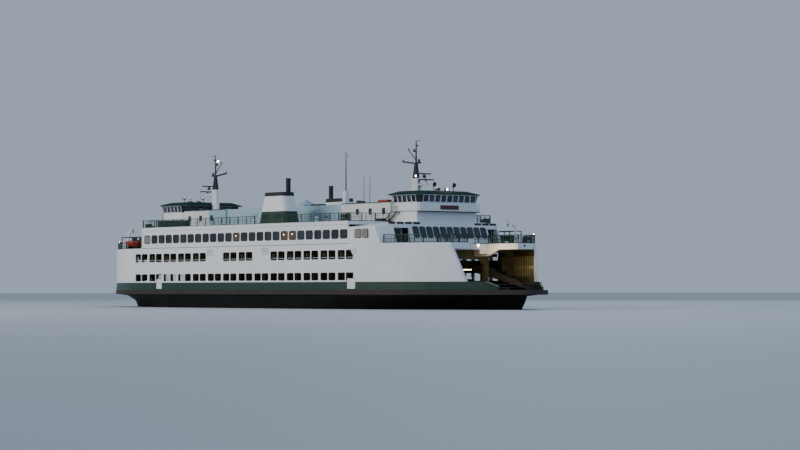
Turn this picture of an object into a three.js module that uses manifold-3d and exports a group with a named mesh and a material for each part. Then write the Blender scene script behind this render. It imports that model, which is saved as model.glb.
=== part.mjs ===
// Double-ended passenger and car ferry, a scale model at 1:10.
// Sizes are the real ship's, in metres, and METRE turns them into the model's millimetres.
// +X runs to end 1, +Y to port, +Z up. The origin is amidships on the waterline.
import * as THREE from 'three';
import { mergeVertices } from 'three/addons/utils/BufferGeometryUtils.js';
import Module from 'manifold-3d';

const wasm = await Module();
wasm.setup();

const METRE = 100;
// Seat: the gap left between two pieces that touch.
const SEAT = 0.003;
// Clear: the gap left around a piece that moves.
const CLEAR = 0.06;

// Driving dimensions
const HALF_LENGTH = 50;
const HALF_BEAM = 12;
const PARALLEL = 25.5;
const SIDE_RADIUS = 26.1;
const TIP_RADIUS = 2.4;
const KEEL = -5;
const GUARD_BOTTOM = 1.9;
const CAR_DECK = 2.5;
const BULWARK_TOP = 3.55;
const DECK_BOTTOM = 7.75;
const PASSENGER_DECK = 8.5;
const SUN_DECK_BOTTOM = 11;
const SUN_DECK = 11.45;
const SHELL_INSET = 0.1;
const SHELL_THICKNESS = 0.3;
const BULWARK_END = 46;
const SHELL_END_LOW = 42.4;
const SHELL_END_HIGH = 40.6;
const FORK_ROOT = 34.6;
const FORK_HALF_WIDTH = 4;
const WING_DECK = 5.6;
const CASING_HALF_WIDTH = 2.3;
const CASING_HALF_LENGTH = 30.5;
const CABIN_HALF_LENGTH = 25.4;
const CABIN_WALL = 0.2;
const RAIL_HEIGHT = 1.1;

// Materials
const paint = (color, roughness = 0.6, metalness = 0) =>
  new THREE.MeshStandardMaterial({ color, roughness, metalness });
const hullPaint = paint(0x141d1c);
const guardPaint = paint(0x2b2422, 0.8);
const deckPaint = paint(0x4a4f4e, 0.8);
const whitePaint = paint(0xd9dcdd, 0.5);
const greenPaint = paint(0x1f4a38, 0.5);
const blackPaint = paint(0x17191b, 0.5);
const paleBluePaint = paint(0x9fc0c8, 0.5);
const casingPaint = paint(0x7d8462, 0.6);
const orangePaint = paint(0xb8402a, 0.5);
const bronze = paint(0x9a7440, 0.35, 0.9);
const engineGrey = paint(0x6a6f72, 0.5, 0.4);

// Solids
function solid(geometry) {
  const bare = geometry.clone();
  bare.deleteAttribute('normal');
  bare.deleteAttribute('uv');
  const merged = mergeVertices(bare, 1e-5);
  const count = merged.attributes.position.count;
  const triVerts = merged.index ? merged.index.array : Array.from({ length: count }, (_, i) => i);
  return new wasm.Manifold(new wasm.Mesh({
    numProp: 3,
    vertProperties: Float32Array.from(merged.attributes.position.array),
    triVerts: Uint32Array.from(triVerts),
  }));
}

function surface(manifold) {
  const { vertProperties, triVerts } = manifold.getMesh();
  const geometry = new THREE.BufferGeometry();
  geometry.setAttribute('position', new THREE.BufferAttribute(vertProperties, 3));
  geometry.setIndex(new THREE.BufferAttribute(triVerts, 1));
  return geometry;
}

const join = (first, ...rest) => surface(rest.reduce((sum, piece) => sum.add(solid(piece)), solid(first)));
const cut = (first, ...rest) => surface(rest.reduce((sum, piece) => sum.subtract(solid(piece)), solid(first)));
const common = (first, ...rest) => surface(rest.reduce((sum, piece) => sum.intersect(solid(piece)), solid(first)));

// Shapes
const polygon = (points) => new THREE.Shape(points.map(([a, b]) => new THREE.Vector2(a, b)));
const box = (x0, x1, y0, y1, z0, z1) =>
  new THREE.BoxGeometry(x1 - x0, y1 - y0, z1 - z0).translate((x0 + x1) / 2, (y0 + y1) / 2, (z0 + z1) / 2);
const extruded = (shape, depth) => new THREE.ExtrudeGeometry(shape, { depth, bevelEnabled: false, curveSegments: 6 });
// A plan outline in x and y, raised from z0 to z1.
const slab = (points, z0, z1) => extruded(polygon(points), z1 - z0).translate(0, 0, z0);
// A side profile in x and z, spread from y0 to y1.
const profile = (points, y0, y1) => extruded(polygon(points), y1 - y0).rotateX(Math.PI / 2).translate(0, y1, 0);
// A cross section in y and z, run from x0 to x1.
const section = (points, x0, x1) => extruded(polygon(points), x1 - x0)
  .applyMatrix4(new THREE.Matrix4().makeBasis(
    new THREE.Vector3(0, 1, 0), new THREE.Vector3(0, 0, 1), new THREE.Vector3(1, 0, 0)))
  .translate(x0, 0, 0);
// An upright cylinder or cone.
const post = (x, y, z0, z1, radius, topRadius = radius, sides = 12) =>
  new THREE.CylinderGeometry(topRadius, radius, z1 - z0, sides).rotateX(Math.PI / 2).translate(x, y, (z0 + z1) / 2);

// A bar of square section from one point to another.
function bar(from, to, width) {
  const start = new THREE.Vector3(...from);
  const end = new THREE.Vector3(...to);
  const turn = new THREE.Quaternion().setFromUnitVectors(
    new THREE.Vector3(0, 0, 1), end.clone().sub(start).normalize());
  const middle = start.clone().add(end).multiplyScalar(0.5);
  return new THREE.BoxGeometry(width, width, start.distanceTo(end)).applyQuaternion(turn)
    .translate(middle.x, middle.y, middle.z);
}

function mirrored(geometry, x, y) {
  const copy = geometry.clone().scale(x, y, 1);
  if (x * y > 0) return copy;
  const bare = copy.clone();
  bare.deleteAttribute('normal');
  bare.deleteAttribute('uv');
  const merged = mergeVertices(bare, 1e-6);
  const index = merged.index.array;
  for (let i = 0; i < index.length; i += 3) {
    [index[i + 1], index[i + 2]] = [index[i + 2], index[i + 1]];
  }
  return merged;
}
const halfTurn = (geometry) => mirrored(geometry, -1, -1);
const fromEnd = (geometry, end) => (end === 1 ? geometry : halfTurn(geometry));

// A loft through level outlines that all have the same number of points.
function loft(sections) {
  const count = sections[0].points.length;
  const positions = sections.flatMap(({ z, points }) => points.flatMap(([x, y]) => [x, y, z]));
  const index = [];
  for (let level = 0; level < sections.length - 1; level += 1) {
    for (let i = 0; i < count; i += 1) {
      const a = level * count + i;
      const b = level * count + ((i + 1) % count);
      index.push(a, b, b + count, a, b + count, a + count);
    }
  }
  const cap = THREE.ShapeUtils.triangulateShape(sections[0].points.map(([x, y]) => new THREE.Vector2(x, y)), []);
  const top = (sections.length - 1) * count;
  for (const [a, b, c] of cap) {
    index.push(a, c, b, top + a, top + b, top + c);
  }
  const geometry = new THREE.BufferGeometry();
  geometry.setAttribute('position', new THREE.Float32BufferAttribute(positions, 3));
  geometry.setIndex(index);
  return geometry;
}

// A rectangle with cut corners, counterclockwise.
function cutRectangle(x0, x1, halfWidth, corner) {
  return [
    [x1, -halfWidth + corner], [x1, halfWidth - corner], [x1 - corner, halfWidth], [x0 + corner, halfWidth],
    [x0, halfWidth - corner], [x0, -halfWidth + corner], [x0 + corner, -halfWidth], [x1 - corner, -halfWidth],
  ];
}

// Plan outline of the guard: straight sides, an arc, a straight run to each end and a rounded tip.
const TIP_CENTRE = HALF_LENGTH - TIP_RADIUS;
const ARC_CENTRE_Y = HALF_BEAM - SIDE_RADIUS;
// Normal of the straight run, which touches the side arc and the tip circle.
const RUN_NORMAL = Math.atan2(-ARC_CENTRE_Y, TIP_CENTRE - PARALLEL)
  + Math.acos((SIDE_RADIUS - TIP_RADIUS) / Math.hypot(TIP_CENTRE - PARALLEL, ARC_CENTRE_Y));

function outline(inset) {
  const quarter = [];
  const arcSteps = 9;
  for (let i = 0; i <= arcSteps; i += 1) {
    const angle = Math.PI / 2 + ((RUN_NORMAL - Math.PI / 2) * i) / arcSteps;
    const radius = SIDE_RADIUS - inset;
    quarter.push([PARALLEL + radius * Math.cos(angle), ARC_CENTRE_Y + radius * Math.sin(angle)]);
  }
  const tipSteps = 4;
  for (let i = 0; i <= tipSteps; i += 1) {
    const angle = RUN_NORMAL * (1 - i / tipSteps);
    const radius = TIP_RADIUS - inset;
    quarter.push([TIP_CENTRE + radius * Math.cos(angle), radius * Math.sin(angle)]);
  }
  const onAxis = quarter[quarter.length - 1];
  onAxis[1] = 0;
  const upperRight = [...quarter].reverse();
  const upperLeft = quarter.map(([x, y]) => [-x, y]);
  const lowerLeft = quarter.slice(0, -1).reverse().map(([x, y]) => [-x, -y]);
  const lowerRight = quarter.slice(0, -1).map(([x, y]) => [x, -y]);
  return [...upperRight, ...upperLeft, ...lowerLeft, ...lowerRight];
}

const prism = (inset, z0, z1) => slab(outline(inset), z0, z1);
const ring = (outer, inner, z0, z1) => cut(prism(outer, z0, z1), prism(inner, z0 - 1, z1 + 1));

const ferry = new THREE.Group();

function add(name, geometry, material) {
  const mesh = new THREE.Mesh(geometry.clone().scale(METRE, METRE, METRE), material);
  mesh.name = name;
  ferry.add(mesh);
}

// Adds a starboard piece and its mirror image to port.
function addSides(name, geometry, material) {
  add(`${name}_starboard`, geometry, material);
  add(`${name}_port`, mirrored(geometry, 1, -1), material);
}

// Adds an end 1 piece and the same piece turned half round for end 2.
function addEnds(name, geometry, material) {
  add(`${name}_1`, geometry, material);
  add(`${name}_2`, halfTurn(geometry), material);
}

// Hull
const SHAFT_Z = -2.9;
const PROPELLER_X = 41.6;
const RUDDER_STOCK_X = 44.2;
const TRUNK_FOOT = -0.95;

function waterline(z, halfLength, halfBreadth, parallel, fullness) {
  const steps = 12;
  const quarter = [];
  for (let i = 0; i <= steps; i += 1) {
    const t = Math.sin((i / steps) * (Math.PI / 2));
    quarter.push([parallel + (halfLength - parallel) * t, Math.max(halfBreadth * (1 - t ** fullness), 0.15)]);
  }
  const right = [...quarter].reverse();
  const left = quarter.map(([x, y]) => [-x, y]);
  const points = [...right, ...left, ...[...left].reverse().map(([x, y]) => [x, -y]),
    ...[...right].reverse().map(([x, y]) => [x, -y])];
  return { z, points };
}

// Levels of the hull: height, half-length, half-breadth, half the parallel body, fullness of the ends.
const hullLevels = [
  [KEEL, 34, 3.2, 6, 1.3],
  [-4.6, 36, 6.6, 7, 1.4],
  [-3.8, 37.5, 9, 8, 1.5],
  [-2.4, 39, 10.2, 9, 1.6],
  [-1.2, 40.4, 10.7, 10, 1.7],
  [-0.5, 44.2, 10.9, 11, 1.8],
  [0, 46, 11, 12, 1.8],
  [1, 46.7, 11.3, 16, 1.9],
  [1.72, 47.06, 11.55, 22, 2],
  [GUARD_BOTTOM - SEAT, 49.3, 11.8, 25, 2],
];
const deadwood = profile([[30, KEEL], [39.9, KEEL], [40.3, SHAFT_Z - 0.5], [40.3, SHAFT_Z + 0.5], [39.4, -1], [30, -1]],
  -0.3, 0.3);
const boss = new THREE.CylinderGeometry(0.55, 0.55, 5, 16).rotateZ(Math.PI / 2).translate(38.3, 0, SHAFT_Z);
const ENGINE_ROOM = box(-9, 9, -4.5, 4.5, -3.9, GUARD_BOTTOM + 1);
const rudderTrunk = post(RUDDER_STOCK_X, 0, TRUNK_FOOT, 0.6, 0.35);
const hullBody = loft(hullLevels.map((level) => waterline(...level)));
const appendages = [deadwood, boss, rudderTrunk];
add('hull', cut(join(hullBody, ...appendages, ...appendages.map(halfTurn)), ENGINE_ROOM), hullPaint);
add('main_engines', box(-7, 7, -3.4, 3.4, -3.9 + SEAT, -0.4), engineGrey);

// Propellers and rudders
function propeller() {
  const hub = new THREE.CylinderGeometry(0.34, 0.5, 0.9, 16).rotateZ(-Math.PI / 2).translate(PROPELLER_X, 0, SHAFT_Z);
  const blades = [];
  const bladeCount = 4;
  for (let i = 0; i < bladeCount; i += 1) {
    const blade = new THREE.SphereGeometry(1, 10, 6).scale(0.09, 0.5, 0.72)
      .rotateZ(0.62).translate(0, 0, 0.95).rotateX((i / bladeCount) * Math.PI * 2)
      .translate(PROPELLER_X, 0, SHAFT_Z);
    blades.push(blade);
  }
  const shaft = new THREE.CylinderGeometry(0.2, 0.2, 0.4 - SEAT, 12).rotateZ(Math.PI / 2)
    .translate(PROPELLER_X - 0.6 + SEAT / 2, 0, SHAFT_Z);
  return join(hub, shaft, ...blades);
}

function rudder() {
  const foil = [[43.3, 0.06], [43.6, 0.2], [44.4, 0.26], [45.2, 0.16], [45.9, 0.04],
    [45.9, -0.04], [45.2, -0.16], [44.4, -0.26], [43.6, -0.2], [43.3, -0.06]];
  const stock = post(RUDDER_STOCK_X, 0, -1.4, TRUNK_FOOT - SEAT, 0.2);
  return join(slab(foil, -4.6, -1.25), stock);
}
addEnds('propeller', propeller(), bronze);
addEnds('rudder', rudder(), hullPaint);

// Guard and car deck
const GUARD_WIDTH = 0.55;
add('guard', ring(0, GUARD_WIDTH, GUARD_BOTTOM, CAR_DECK), guardPaint);
add('main_deck', prism(GUARD_WIDTH + SEAT, GUARD_BOTTOM, CAR_DECK), deckPaint);

// Side doors through bulwark and shell: middle along the side, width.
const DOOR_BOTTOM = 2.6;
const DOOR_TOP = 4.05;
const sideDoors = [
  { middle: 26, width: 1.8 },
  { middle: -20.9, width: 1.5 },
];
const DOOR_LEAF = 0.1;

function doorway({ middle, width }) {
  return box(middle - width / 2, middle + width / 2, -13, -11, DOOR_BOTTOM, DOOR_TOP);
}

// The leaf hangs on its edge nearer end 1.
function sideDoor({ middle, width }) {
  const outer = -HALF_BEAM + SHELL_INSET;
  return box(middle - width / 2 + CLEAR, middle + width / 2 - SEAT, outer + 0.04, outer + 0.04 + DOOR_LEAF,
    DOOR_BOTTOM + CLEAR, DOOR_TOP - CLEAR);
}

const shellInner = SHELL_INSET + SHELL_THICKNESS;
const bulwarkProfile = profile([[-BULWARK_END, CAR_DECK + SEAT], [BULWARK_END, CAR_DECK + SEAT], [BULWARK_END, 2.95],
  [44.6, BULWARK_TOP], [-44.6, BULWARK_TOP], [-BULWARK_END, 2.95]], -20, 0);
const bulwark = cut(common(ring(SHELL_INSET, shellInner, CAR_DECK, BULWARK_TOP), bulwarkProfile),
  ...sideDoors.map(doorway));
add('bulwark_starboard', bulwark, greenPaint);
add('bulwark_port', halfTurn(bulwark), greenPaint);

// Side shells with two rows of paired openings
const PAIR_FIRST = -27.36;
const PAIR_PITCH = 3.885;
const PAIR_COUNT = 14;
const PANE_WIDTH = 1.58;
const MULLION = 0.22;
const LOWER_OPENING = [3.75, 4.77];
const UPPER_OPENING = [6.49, 7.69];
const closedUpperPairs = [5, 8];

function pairOpenings(index, [low, high]) {
  const start = PAIR_FIRST + index * PAIR_PITCH;
  return [start, start + PANE_WIDTH + MULLION].map((x) => box(x, x + PANE_WIDTH, -13, -11, low, high));
}

const shellOpenings = [];
for (let index = 0; index < PAIR_COUNT; index += 1) {
  shellOpenings.push(...pairOpenings(index, LOWER_OPENING));
  if (!closedUpperPairs.includes(index)) shellOpenings.push(...pairOpenings(index, UPPER_OPENING));
}
const shellBottom = BULWARK_TOP + SEAT;
const shellProfile = profile([[-SHELL_END_LOW, shellBottom], [SHELL_END_LOW, shellBottom],
  [SHELL_END_HIGH, PASSENGER_DECK], [-SHELL_END_HIGH, PASSENGER_DECK]], -20, 0);
const shell = cut(common(ring(SHELL_INSET, shellInner, shellBottom, PASSENGER_DECK), shellProfile),
  ...shellOpenings, ...sideDoors.map(doorway));
add('side_shell_starboard', shell, whitePaint);
add('side_shell_port', halfTurn(shell), whitePaint);

sideDoors.forEach((door, index) => {
  add(`side_door_starboard_${index + 1}`, sideDoor(door), whitePaint);
  add(`side_door_port_${2 - index}`, halfTurn(sideDoor(door)), whitePaint);
});

// Passenger deck, forked at each end around the car deck's open end
const forkCut = box(FORK_ROOT, 60, -FORK_HALF_WIDTH, FORK_HALF_WIDTH, 0, 20);
const deckPlate = common(prism(shellInner + SEAT, DECK_BOTTOM, PASSENGER_DECK),
  box(-SHELL_END_HIGH, SHELL_END_HIGH, -20, 20, 0, 20));
// Girders along the fork's inner edges, tapering out beyond its root.
const girder = profile([[31.65, DECK_BOTTOM + 0.05], [31.65, 6.9], [FORK_ROOT, 6.9], [36.7, DECK_BOTTOM],
  [36.7, DECK_BOTTOM + 0.05]], FORK_HALF_WIDTH, FORK_HALF_WIDTH + 0.3);
const girders = [girder, mirrored(girder, 1, -1), mirrored(girder, -1, 1), halfTurn(girder)];
add('passenger_deck', join(cut(deckPlate, forkCut, halfTurn(forkCut)), ...girders), whitePaint);

// Centre casing between the car lanes
const casingPlan = [[CASING_HALF_LENGTH, -1.2], [CASING_HALF_LENGTH, 1.2], [CASING_HALF_LENGTH - 1.5, CASING_HALF_WIDTH],
  [-CASING_HALF_LENGTH + 1.5, CASING_HALF_WIDTH], [-CASING_HALF_LENGTH, 1.2], [-CASING_HALF_LENGTH, -1.2],
  [-CASING_HALF_LENGTH + 1.5, -CASING_HALF_WIDTH], [CASING_HALF_LENGTH - 1.5, -CASING_HALF_WIDTH]];
add('centre_casing', slab(casingPlan, CAR_DECK + SEAT, DECK_BOTTOM - SEAT), casingPaint);

// Wing decks with a ramp at each end
const WING_INNER = 6.6;
const WING_THICKNESS = 0.3;
const RAMP_TOP = 26;
const RAMP_FOOT = 40;
const RAMP_LIP = 0.06;
const PARAPET = { thickness: 0.15, height: 0.9, start: 24, end: 38.5 };
const wingProfile = [[-RAMP_FOOT, CAR_DECK + SEAT], [-RAMP_TOP, WING_DECK - WING_THICKNESS],
  [RAMP_TOP, WING_DECK - WING_THICKNESS], [RAMP_FOOT, CAR_DECK + SEAT], [RAMP_FOOT, CAR_DECK + RAMP_LIP],
  [RAMP_TOP, WING_DECK], [-RAMP_TOP, WING_DECK], [-RAMP_FOOT, CAR_DECK + RAMP_LIP]];
const wingPillars = [-21, -14, -7, 0, 7, 14, 21].map((x) =>
  box(x - 0.15, x + 0.15, -WING_INNER - 0.35, -WING_INNER - 0.05, CAR_DECK + SEAT, WING_DECK - 0.1));
const rampSlope = (WING_DECK - CAR_DECK - RAMP_LIP) / (RAMP_FOOT - RAMP_TOP);
const parapetFoot = WING_DECK - (PARAPET.end - RAMP_TOP) * rampSlope - 0.05;
const parapet = profile([[PARAPET.start, WING_DECK - 0.05], [RAMP_TOP, WING_DECK - 0.05],
  [PARAPET.end, parapetFoot], [PARAPET.end, parapetFoot + 0.3], [PARAPET.end - 1, parapetFoot + PARAPET.height],
  [RAMP_TOP, WING_DECK + PARAPET.height], [PARAPET.start, WING_DECK + PARAPET.height]],
-WING_INNER - PARAPET.thickness, -WING_INNER);
const wingPlate = common(profile(wingProfile, -12, -WING_INNER), prism(shellInner + SEAT, 0, 20));
const wingDeck = join(wingPlate, parapet, mirrored(parapet, -1, 1), ...wingPillars);
addSides('wing_deck', wingDeck, casingPaint);

// Portal frames that carry the deck's ends. Bays on each side: inner edge, outer edge, top.
const PORTAL_X = 31.2;
const PORTAL_DEPTH = 0.8;
const portalBays = [[0.5, 6, 6.5], [6.5, 10.2, 7.4]];

function portalFrame() {
  const plate = box(PORTAL_X - PORTAL_DEPTH / 2, PORTAL_X + PORTAL_DEPTH / 2, -12, 12, CAR_DECK + SEAT, DECK_BOTTOM - SEAT);
  const bays = portalBays.flatMap(([inner, outer, top]) => [-1, 1].map((side) => {
    const corner = 0.7;
    const points = [[inner, 0], [outer, 0], [outer, top - corner], [outer - corner, top],
      [inner + corner, top], [inner, top - corner]];
    return section(points.map(([y, z]) => [y * side, z]), PORTAL_X - 2, PORTAL_X + 2);
  }));
  const ramp = profile([[RAMP_TOP, 0], [RAMP_FOOT, 0], [RAMP_FOOT, CAR_DECK + RAMP_LIP + SEAT],
    [RAMP_TOP, WING_DECK + SEAT]], -12, -WING_INNER + SEAT);
  return cut(common(plate, prism(shellInner + SEAT, 0, 20)), ...bays, ramp, mirrored(ramp, 1, -1));
}
addEnds('portal_frame', portalFrame(), casingPaint);

// Cabin side walls with their window rows
const WINDOW_FIRST = -24.76;
const WINDOW_PITCH = 1.94;
const WINDOW_COUNT = 26;
const WINDOW_WIDTH = 1.44;
const CABIN_WINDOW = [9.2, 10.33];
const cabinSide = -HALF_BEAM + SHELL_INSET;
const cabinWindows = Array.from({ length: WINDOW_COUNT }, (_, i) => WINDOW_FIRST + i * WINDOW_PITCH)
  .map((x) => box(x, x + WINDOW_WIDTH, -13, -11, ...CABIN_WINDOW));
const cabinWall = cut(box(-CABIN_HALF_LENGTH + SEAT, CABIN_HALF_LENGTH - SEAT, cabinSide, cabinSide + CABIN_WALL,
  PASSENGER_DECK + SEAT, SUN_DECK_BOTTOM - SEAT), ...cabinWindows);
addSides('cabin_wall', cabinWall, whitePaint);

// Sun deck over the cabin
add('sun_deck', box(-CABIN_HALF_LENGTH + SEAT, CABIN_HALF_LENGTH - SEAT, -HALF_BEAM, HALF_BEAM,
  SUN_DECK_BOTTOM, SUN_DECK), whitePaint);

// End houses: side walls, sloping roof and raked front, open to the cabin.
// On the left, seen from the middle of the ship, the wall steps in and leaves a deck well for the rescue boat.
const EAVE = 10.65;
const END_ROOF = 11.35;
const ROOF_KNUCKLE = 6;
const FRONT_FOOT = 32.2;
const FRONT_RAKE = 1.05;
const WELL_WALL = 8.2;
// The front's chamfered corner: where it starts, and how far it falls back for each metre outboard.
const CHAMFER = { y: 9.1, slope: 0.364 };
const RECESS = { top: 10.5, back: 30.7, wall: 0.12 };
const END_DOOR_TOP = 10.4;
const endDoors = [
  { side: -1, recess: [6.7, 9.1], door: [7.3, 8.5] },
  { side: 1, recess: [6.35, 7.95], door: [6.6, 7.7] },
];

function endBody(thickness) {
  const inset = SHELL_INSET + thickness;
  const start = thickness ? CABIN_HALF_LENGTH - 1 : CABIN_HALF_LENGTH;
  const floor = thickness ? PASSENGER_DECK - 1 : PASSENGER_DECK + SEAT;
  const rakePerMetre = FRONT_RAKE / (END_ROOF - PASSENGER_DECK);
  const level = (z) => {
    const front = FRONT_FOOT - thickness - (z - PASSENGER_DECK) * rakePerMetre;
    const corner = front - CHAMFER.slope * (HALF_BEAM - CHAMFER.y);
    const wellSide = WELL_WALL - thickness;
    return { z, points: [[start, -HALF_BEAM], [corner, -HALF_BEAM], [front, -CHAMFER.y], [front, wellSide],
      [start, wellSide]] };
  };
  const half = HALF_BEAM - inset;
  const roof = section([[-half, floor], [half, floor], [half, EAVE - thickness], [ROOF_KNUCKLE, END_ROOF - thickness],
    [-ROOF_KNUCKLE, END_ROOF - thickness], [-half, EAVE - thickness]], start, FRONT_FOOT + 1);
  return common(loft([level(floor), level(END_ROOF)]), roof, prism(inset, 0, 20));
}

const spanOf = (side, [inner, outer]) => (side < 0 ? [-outer, -inner] : [inner, outer]);

function doorRecess({ side, recess, door }) {
  const [low, high] = spanOf(side, recess);
  return cut(
    box(RECESS.back - RECESS.wall, 34, low - RECESS.wall, high + RECESS.wall, PASSENGER_DECK + SEAT,
      RECESS.top + RECESS.wall),
    box(RECESS.back, 35, low, high, 0, RECESS.top),
    box(RECESS.back - 1, 35, ...spanOf(side, door), 0, END_DOOR_TOP));
}

function endHouse() {
  const outer = endBody(0);
  const frontWindows = Array.from({ length: 11 }, (_, i) => (i - 5) * 1.12)
    .map((y) => box(30.5, 33, y - 0.43, y + 0.43, 9.3, 10.45));
  const sideWindows = [26.75, 28.15].map((x) => box(x, x + 1.25, -13, -11, ...CABIN_WINDOW));
  const tunnels = endDoors.map(({ side, recess }) => box(RECESS.back, 34, ...spanOf(side, recess), 0, RECESS.top));
  const recesses = endDoors.map((place) => common(doorRecess(place), outer));
  const wellBulkhead = box(CABIN_HALF_LENGTH, CABIN_HALF_LENGTH + CABIN_WALL, WELL_WALL - CABIN_WALL,
    HALF_BEAM - SHELL_INSET, PASSENGER_DECK + SEAT, SUN_DECK_BOTTOM);
  return join(cut(outer, endBody(CABIN_WALL), ...frontWindows, ...sideWindows, ...tunnels), ...recesses, wellBulkhead);
}
addEnds('end_house', endHouse(), whitePaint);

// Cabin end doors, hung on their outer edges and opening outward
function endDoor({ side, door: [inner, outer] }) {
  return box(RECESS.back - 0.1, RECESS.back - 0.02, ...spanOf(side, [inner + CLEAR, outer - SEAT]),
    PASSENGER_DECK + SEAT, END_DOOR_TOP - CLEAR);
}
const [starboardDoor, portDoor] = endDoors.map(endDoor);
add('cabin_door_1_starboard', starboardDoor, greenPaint);
add('cabin_door_1_port', portDoor, greenPaint);
add('cabin_door_2_port', halfTurn(starboardDoor), greenPaint);
add('cabin_door_2_starboard', halfTurn(portDoor), greenPaint);

// Houses on the sun deck
const CREW_START = 14.2;
const CREW_END = 25.2;
const CREW_ROOF = 14.1;
const CREW_HALF_WIDTH = 4.9;
const BRIDGE_FLOOR = 12.75;
const BASE_FRONT = 30.95;
const deckJoint = CABIN_HALF_LENGTH + SEAT;
const crewProfile = [[CREW_START, SUN_DECK + SEAT], [deckJoint, SUN_DECK + SEAT], [deckJoint, END_ROOF + SEAT],
  [BASE_FRONT, END_ROOF + SEAT], [BASE_FRONT, BRIDGE_FLOOR], [CREW_END, BRIDGE_FLOOR], [CREW_END, CREW_ROOF],
  [CREW_START, CREW_ROOF]];
addEnds('crew_house', profile(crewProfile, -CREW_HALF_WIDTH, CREW_HALF_WIDTH), whitePaint);
add('mid_casing', box(-CREW_START + SEAT, CREW_START - SEAT, -4.6, 4.6, SUN_DECK + SEAT, 14), paleBluePaint);

// Pilothouses: floor, walls leaning out at the windows, and an open top closed by the roof
const BRIDGE = { rear: CREW_END + 0.1, front: 31.4, half: 4.85, corner: 0.5 };
const SILL = 13.85;
const EAVES = 14.9;
const BRIDGE_LEAN = 0.22;
const BRIDGE_WALL = 0.15;

function bridgeBody(inset, floor) {
  const ringAt = (z, lean) => ({
    z,
    points: cutRectangle(BRIDGE.rear + inset, BRIDGE.front - inset + lean, BRIDGE.half - inset + lean, BRIDGE.corner),
  });
  return loft([ringAt(floor, 0), ringAt(SILL, 0), ringAt(EAVES + (inset ? 0.01 : 0), BRIDGE_LEAN)]);
}

function bridgeWindows() {
  const low = SILL + 0.05;
  const high = EAVES - 0.06;
  const windows = [];
  for (let i = -4; i <= 4; i += 1) {
    windows.push(box(30, 33, i * 0.97 - 0.42, i * 0.97 + 0.42, low, high));
  }
  for (let i = 0; i < 5; i += 1) {
    const x = 25.95 + i * 0.98;
    windows.push(box(x, x + 0.86, -7, 7, low, high));
  }
  for (const y of [-3.6, -2.3, 1.5, 2.8]) {
    windows.push(box(24.5, 26, y, y + 0.8, low, high));
  }
  return windows;
}

addEnds('pilothouse', cut(bridgeBody(0, BRIDGE_FLOOR + SEAT), bridgeBody(BRIDGE_WALL, BRIDGE_FLOOR + BRIDGE_WALL),
  ...bridgeWindows()), whitePaint);

// The roof overhangs all round and has a notch for the mast.
const ROOF_TOP = 15.42;
const roofEdge = cutRectangle(24.6, 31.95, 5.55, 0.9);
const bridgeRoof = loft([
  { z: EAVES + SEAT, points: roofEdge },
  { z: EAVES + 0.1, points: roofEdge },
  { z: ROOF_TOP, points: cutRectangle(25.4, 30.6, 4.1, 0.6) },
]);
addEnds('pilothouse_roof', cut(bridgeRoof, box(24, 25.1, -0.45, 0.45, EAVES - 1, ROOF_TOP + 1)), greenPaint);

// Masts: square base, tapered column, pole, yard and two radar platforms
const MAST_X = 24.35;
const MAST_BASE_TOP = 17.3;
const YARD = 19.25;
const MAST_TOP = 22.3;
const scanners = [
  { name: 'upper', x: 26.1, z: 17.75, half: 1.1 },
  { name: 'lower', x: 26.5, z: 16.95, half: 1.25 },
];

function mast() {
  const base = box(MAST_X - 0.6, MAST_X + 0.6, -0.26, 0.26, CREW_ROOF + SEAT, MAST_BASE_TOP);
  const column = loft([
    { z: MAST_BASE_TOP - 0.05, points: cutRectangle(MAST_X - 0.55, MAST_X + 0.55, 0.25, 0.08) },
    { z: YARD, points: cutRectangle(MAST_X - 0.25, MAST_X + 0.25, 0.16, 0.08) },
  ]);
  const pole = post(MAST_X, 0, YARD - 0.2, MAST_TOP, 0.14, 0.06, 8);
  const yards = [
    bar([MAST_X, 0, YARD], [MAST_X - 2.9, 0, YARD + 0.35], 0.2),
    bar([MAST_X, 0, YARD], [MAST_X + 1, 0, YARD + 0.1], 0.2),
    bar([MAST_X, 0, YARD + 0.4], [MAST_X - 1.7, 0, YARD + 1.9], 0.08),
    bar([MAST_X, 0, MAST_TOP - 0.06], [MAST_X + 0.8, 0, MAST_TOP - 0.06], 0.08),
  ];
  const platforms = scanners.map(({ x, z }) =>
    box(MAST_X + 0.1, x + 0.25, -0.22, 0.22, z - 0.6, z - 0.48));
  const pedestals = scanners.map(({ x, z }) => box(x - 0.18, x + 0.18, -0.18, 0.18, z - 0.5, z - 0.12));
  return join(base, column, pole, ...yards, ...platforms, ...pedestals);
}
addEnds('mast', mast(), blackPaint);

for (const end of [1, 2]) {
  for (const { name, x, z, half } of scanners) {
    const scanner = join(box(x - 0.12, x + 0.12, -half, half, z, z + 0.16),
      post(x, 0, z - 0.12 + SEAT, z + 0.05, 0.1, 0.1, 10));
    add(`radar_${name}_${end}`, fromEnd(scanner, end), blackPaint);
  }
}

// Funnels, one on each side, with the exhaust pipe at the end nearer to its own pilothouse
const FUNNEL = { x: 7.15, y: -10.15 };

function funnelRing(z, length, width, radius) {
  const points = [];
  const corners = [[1, 1, 0], [-1, 1, 1], [-1, -1, 2], [1, -1, 3]];
  for (const [signX, signY, quarter] of corners) {
    for (let step = 0; step <= 3; step += 1) {
      const angle = ((quarter + step / 3) * Math.PI) / 2;
      points.push([FUNNEL.x + signX * (length / 2 - radius) + radius * Math.cos(angle),
        FUNNEL.y + signY * (width / 2 - radius) + radius * Math.sin(angle)]);
    }
  }
  return { z, points };
}

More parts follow.
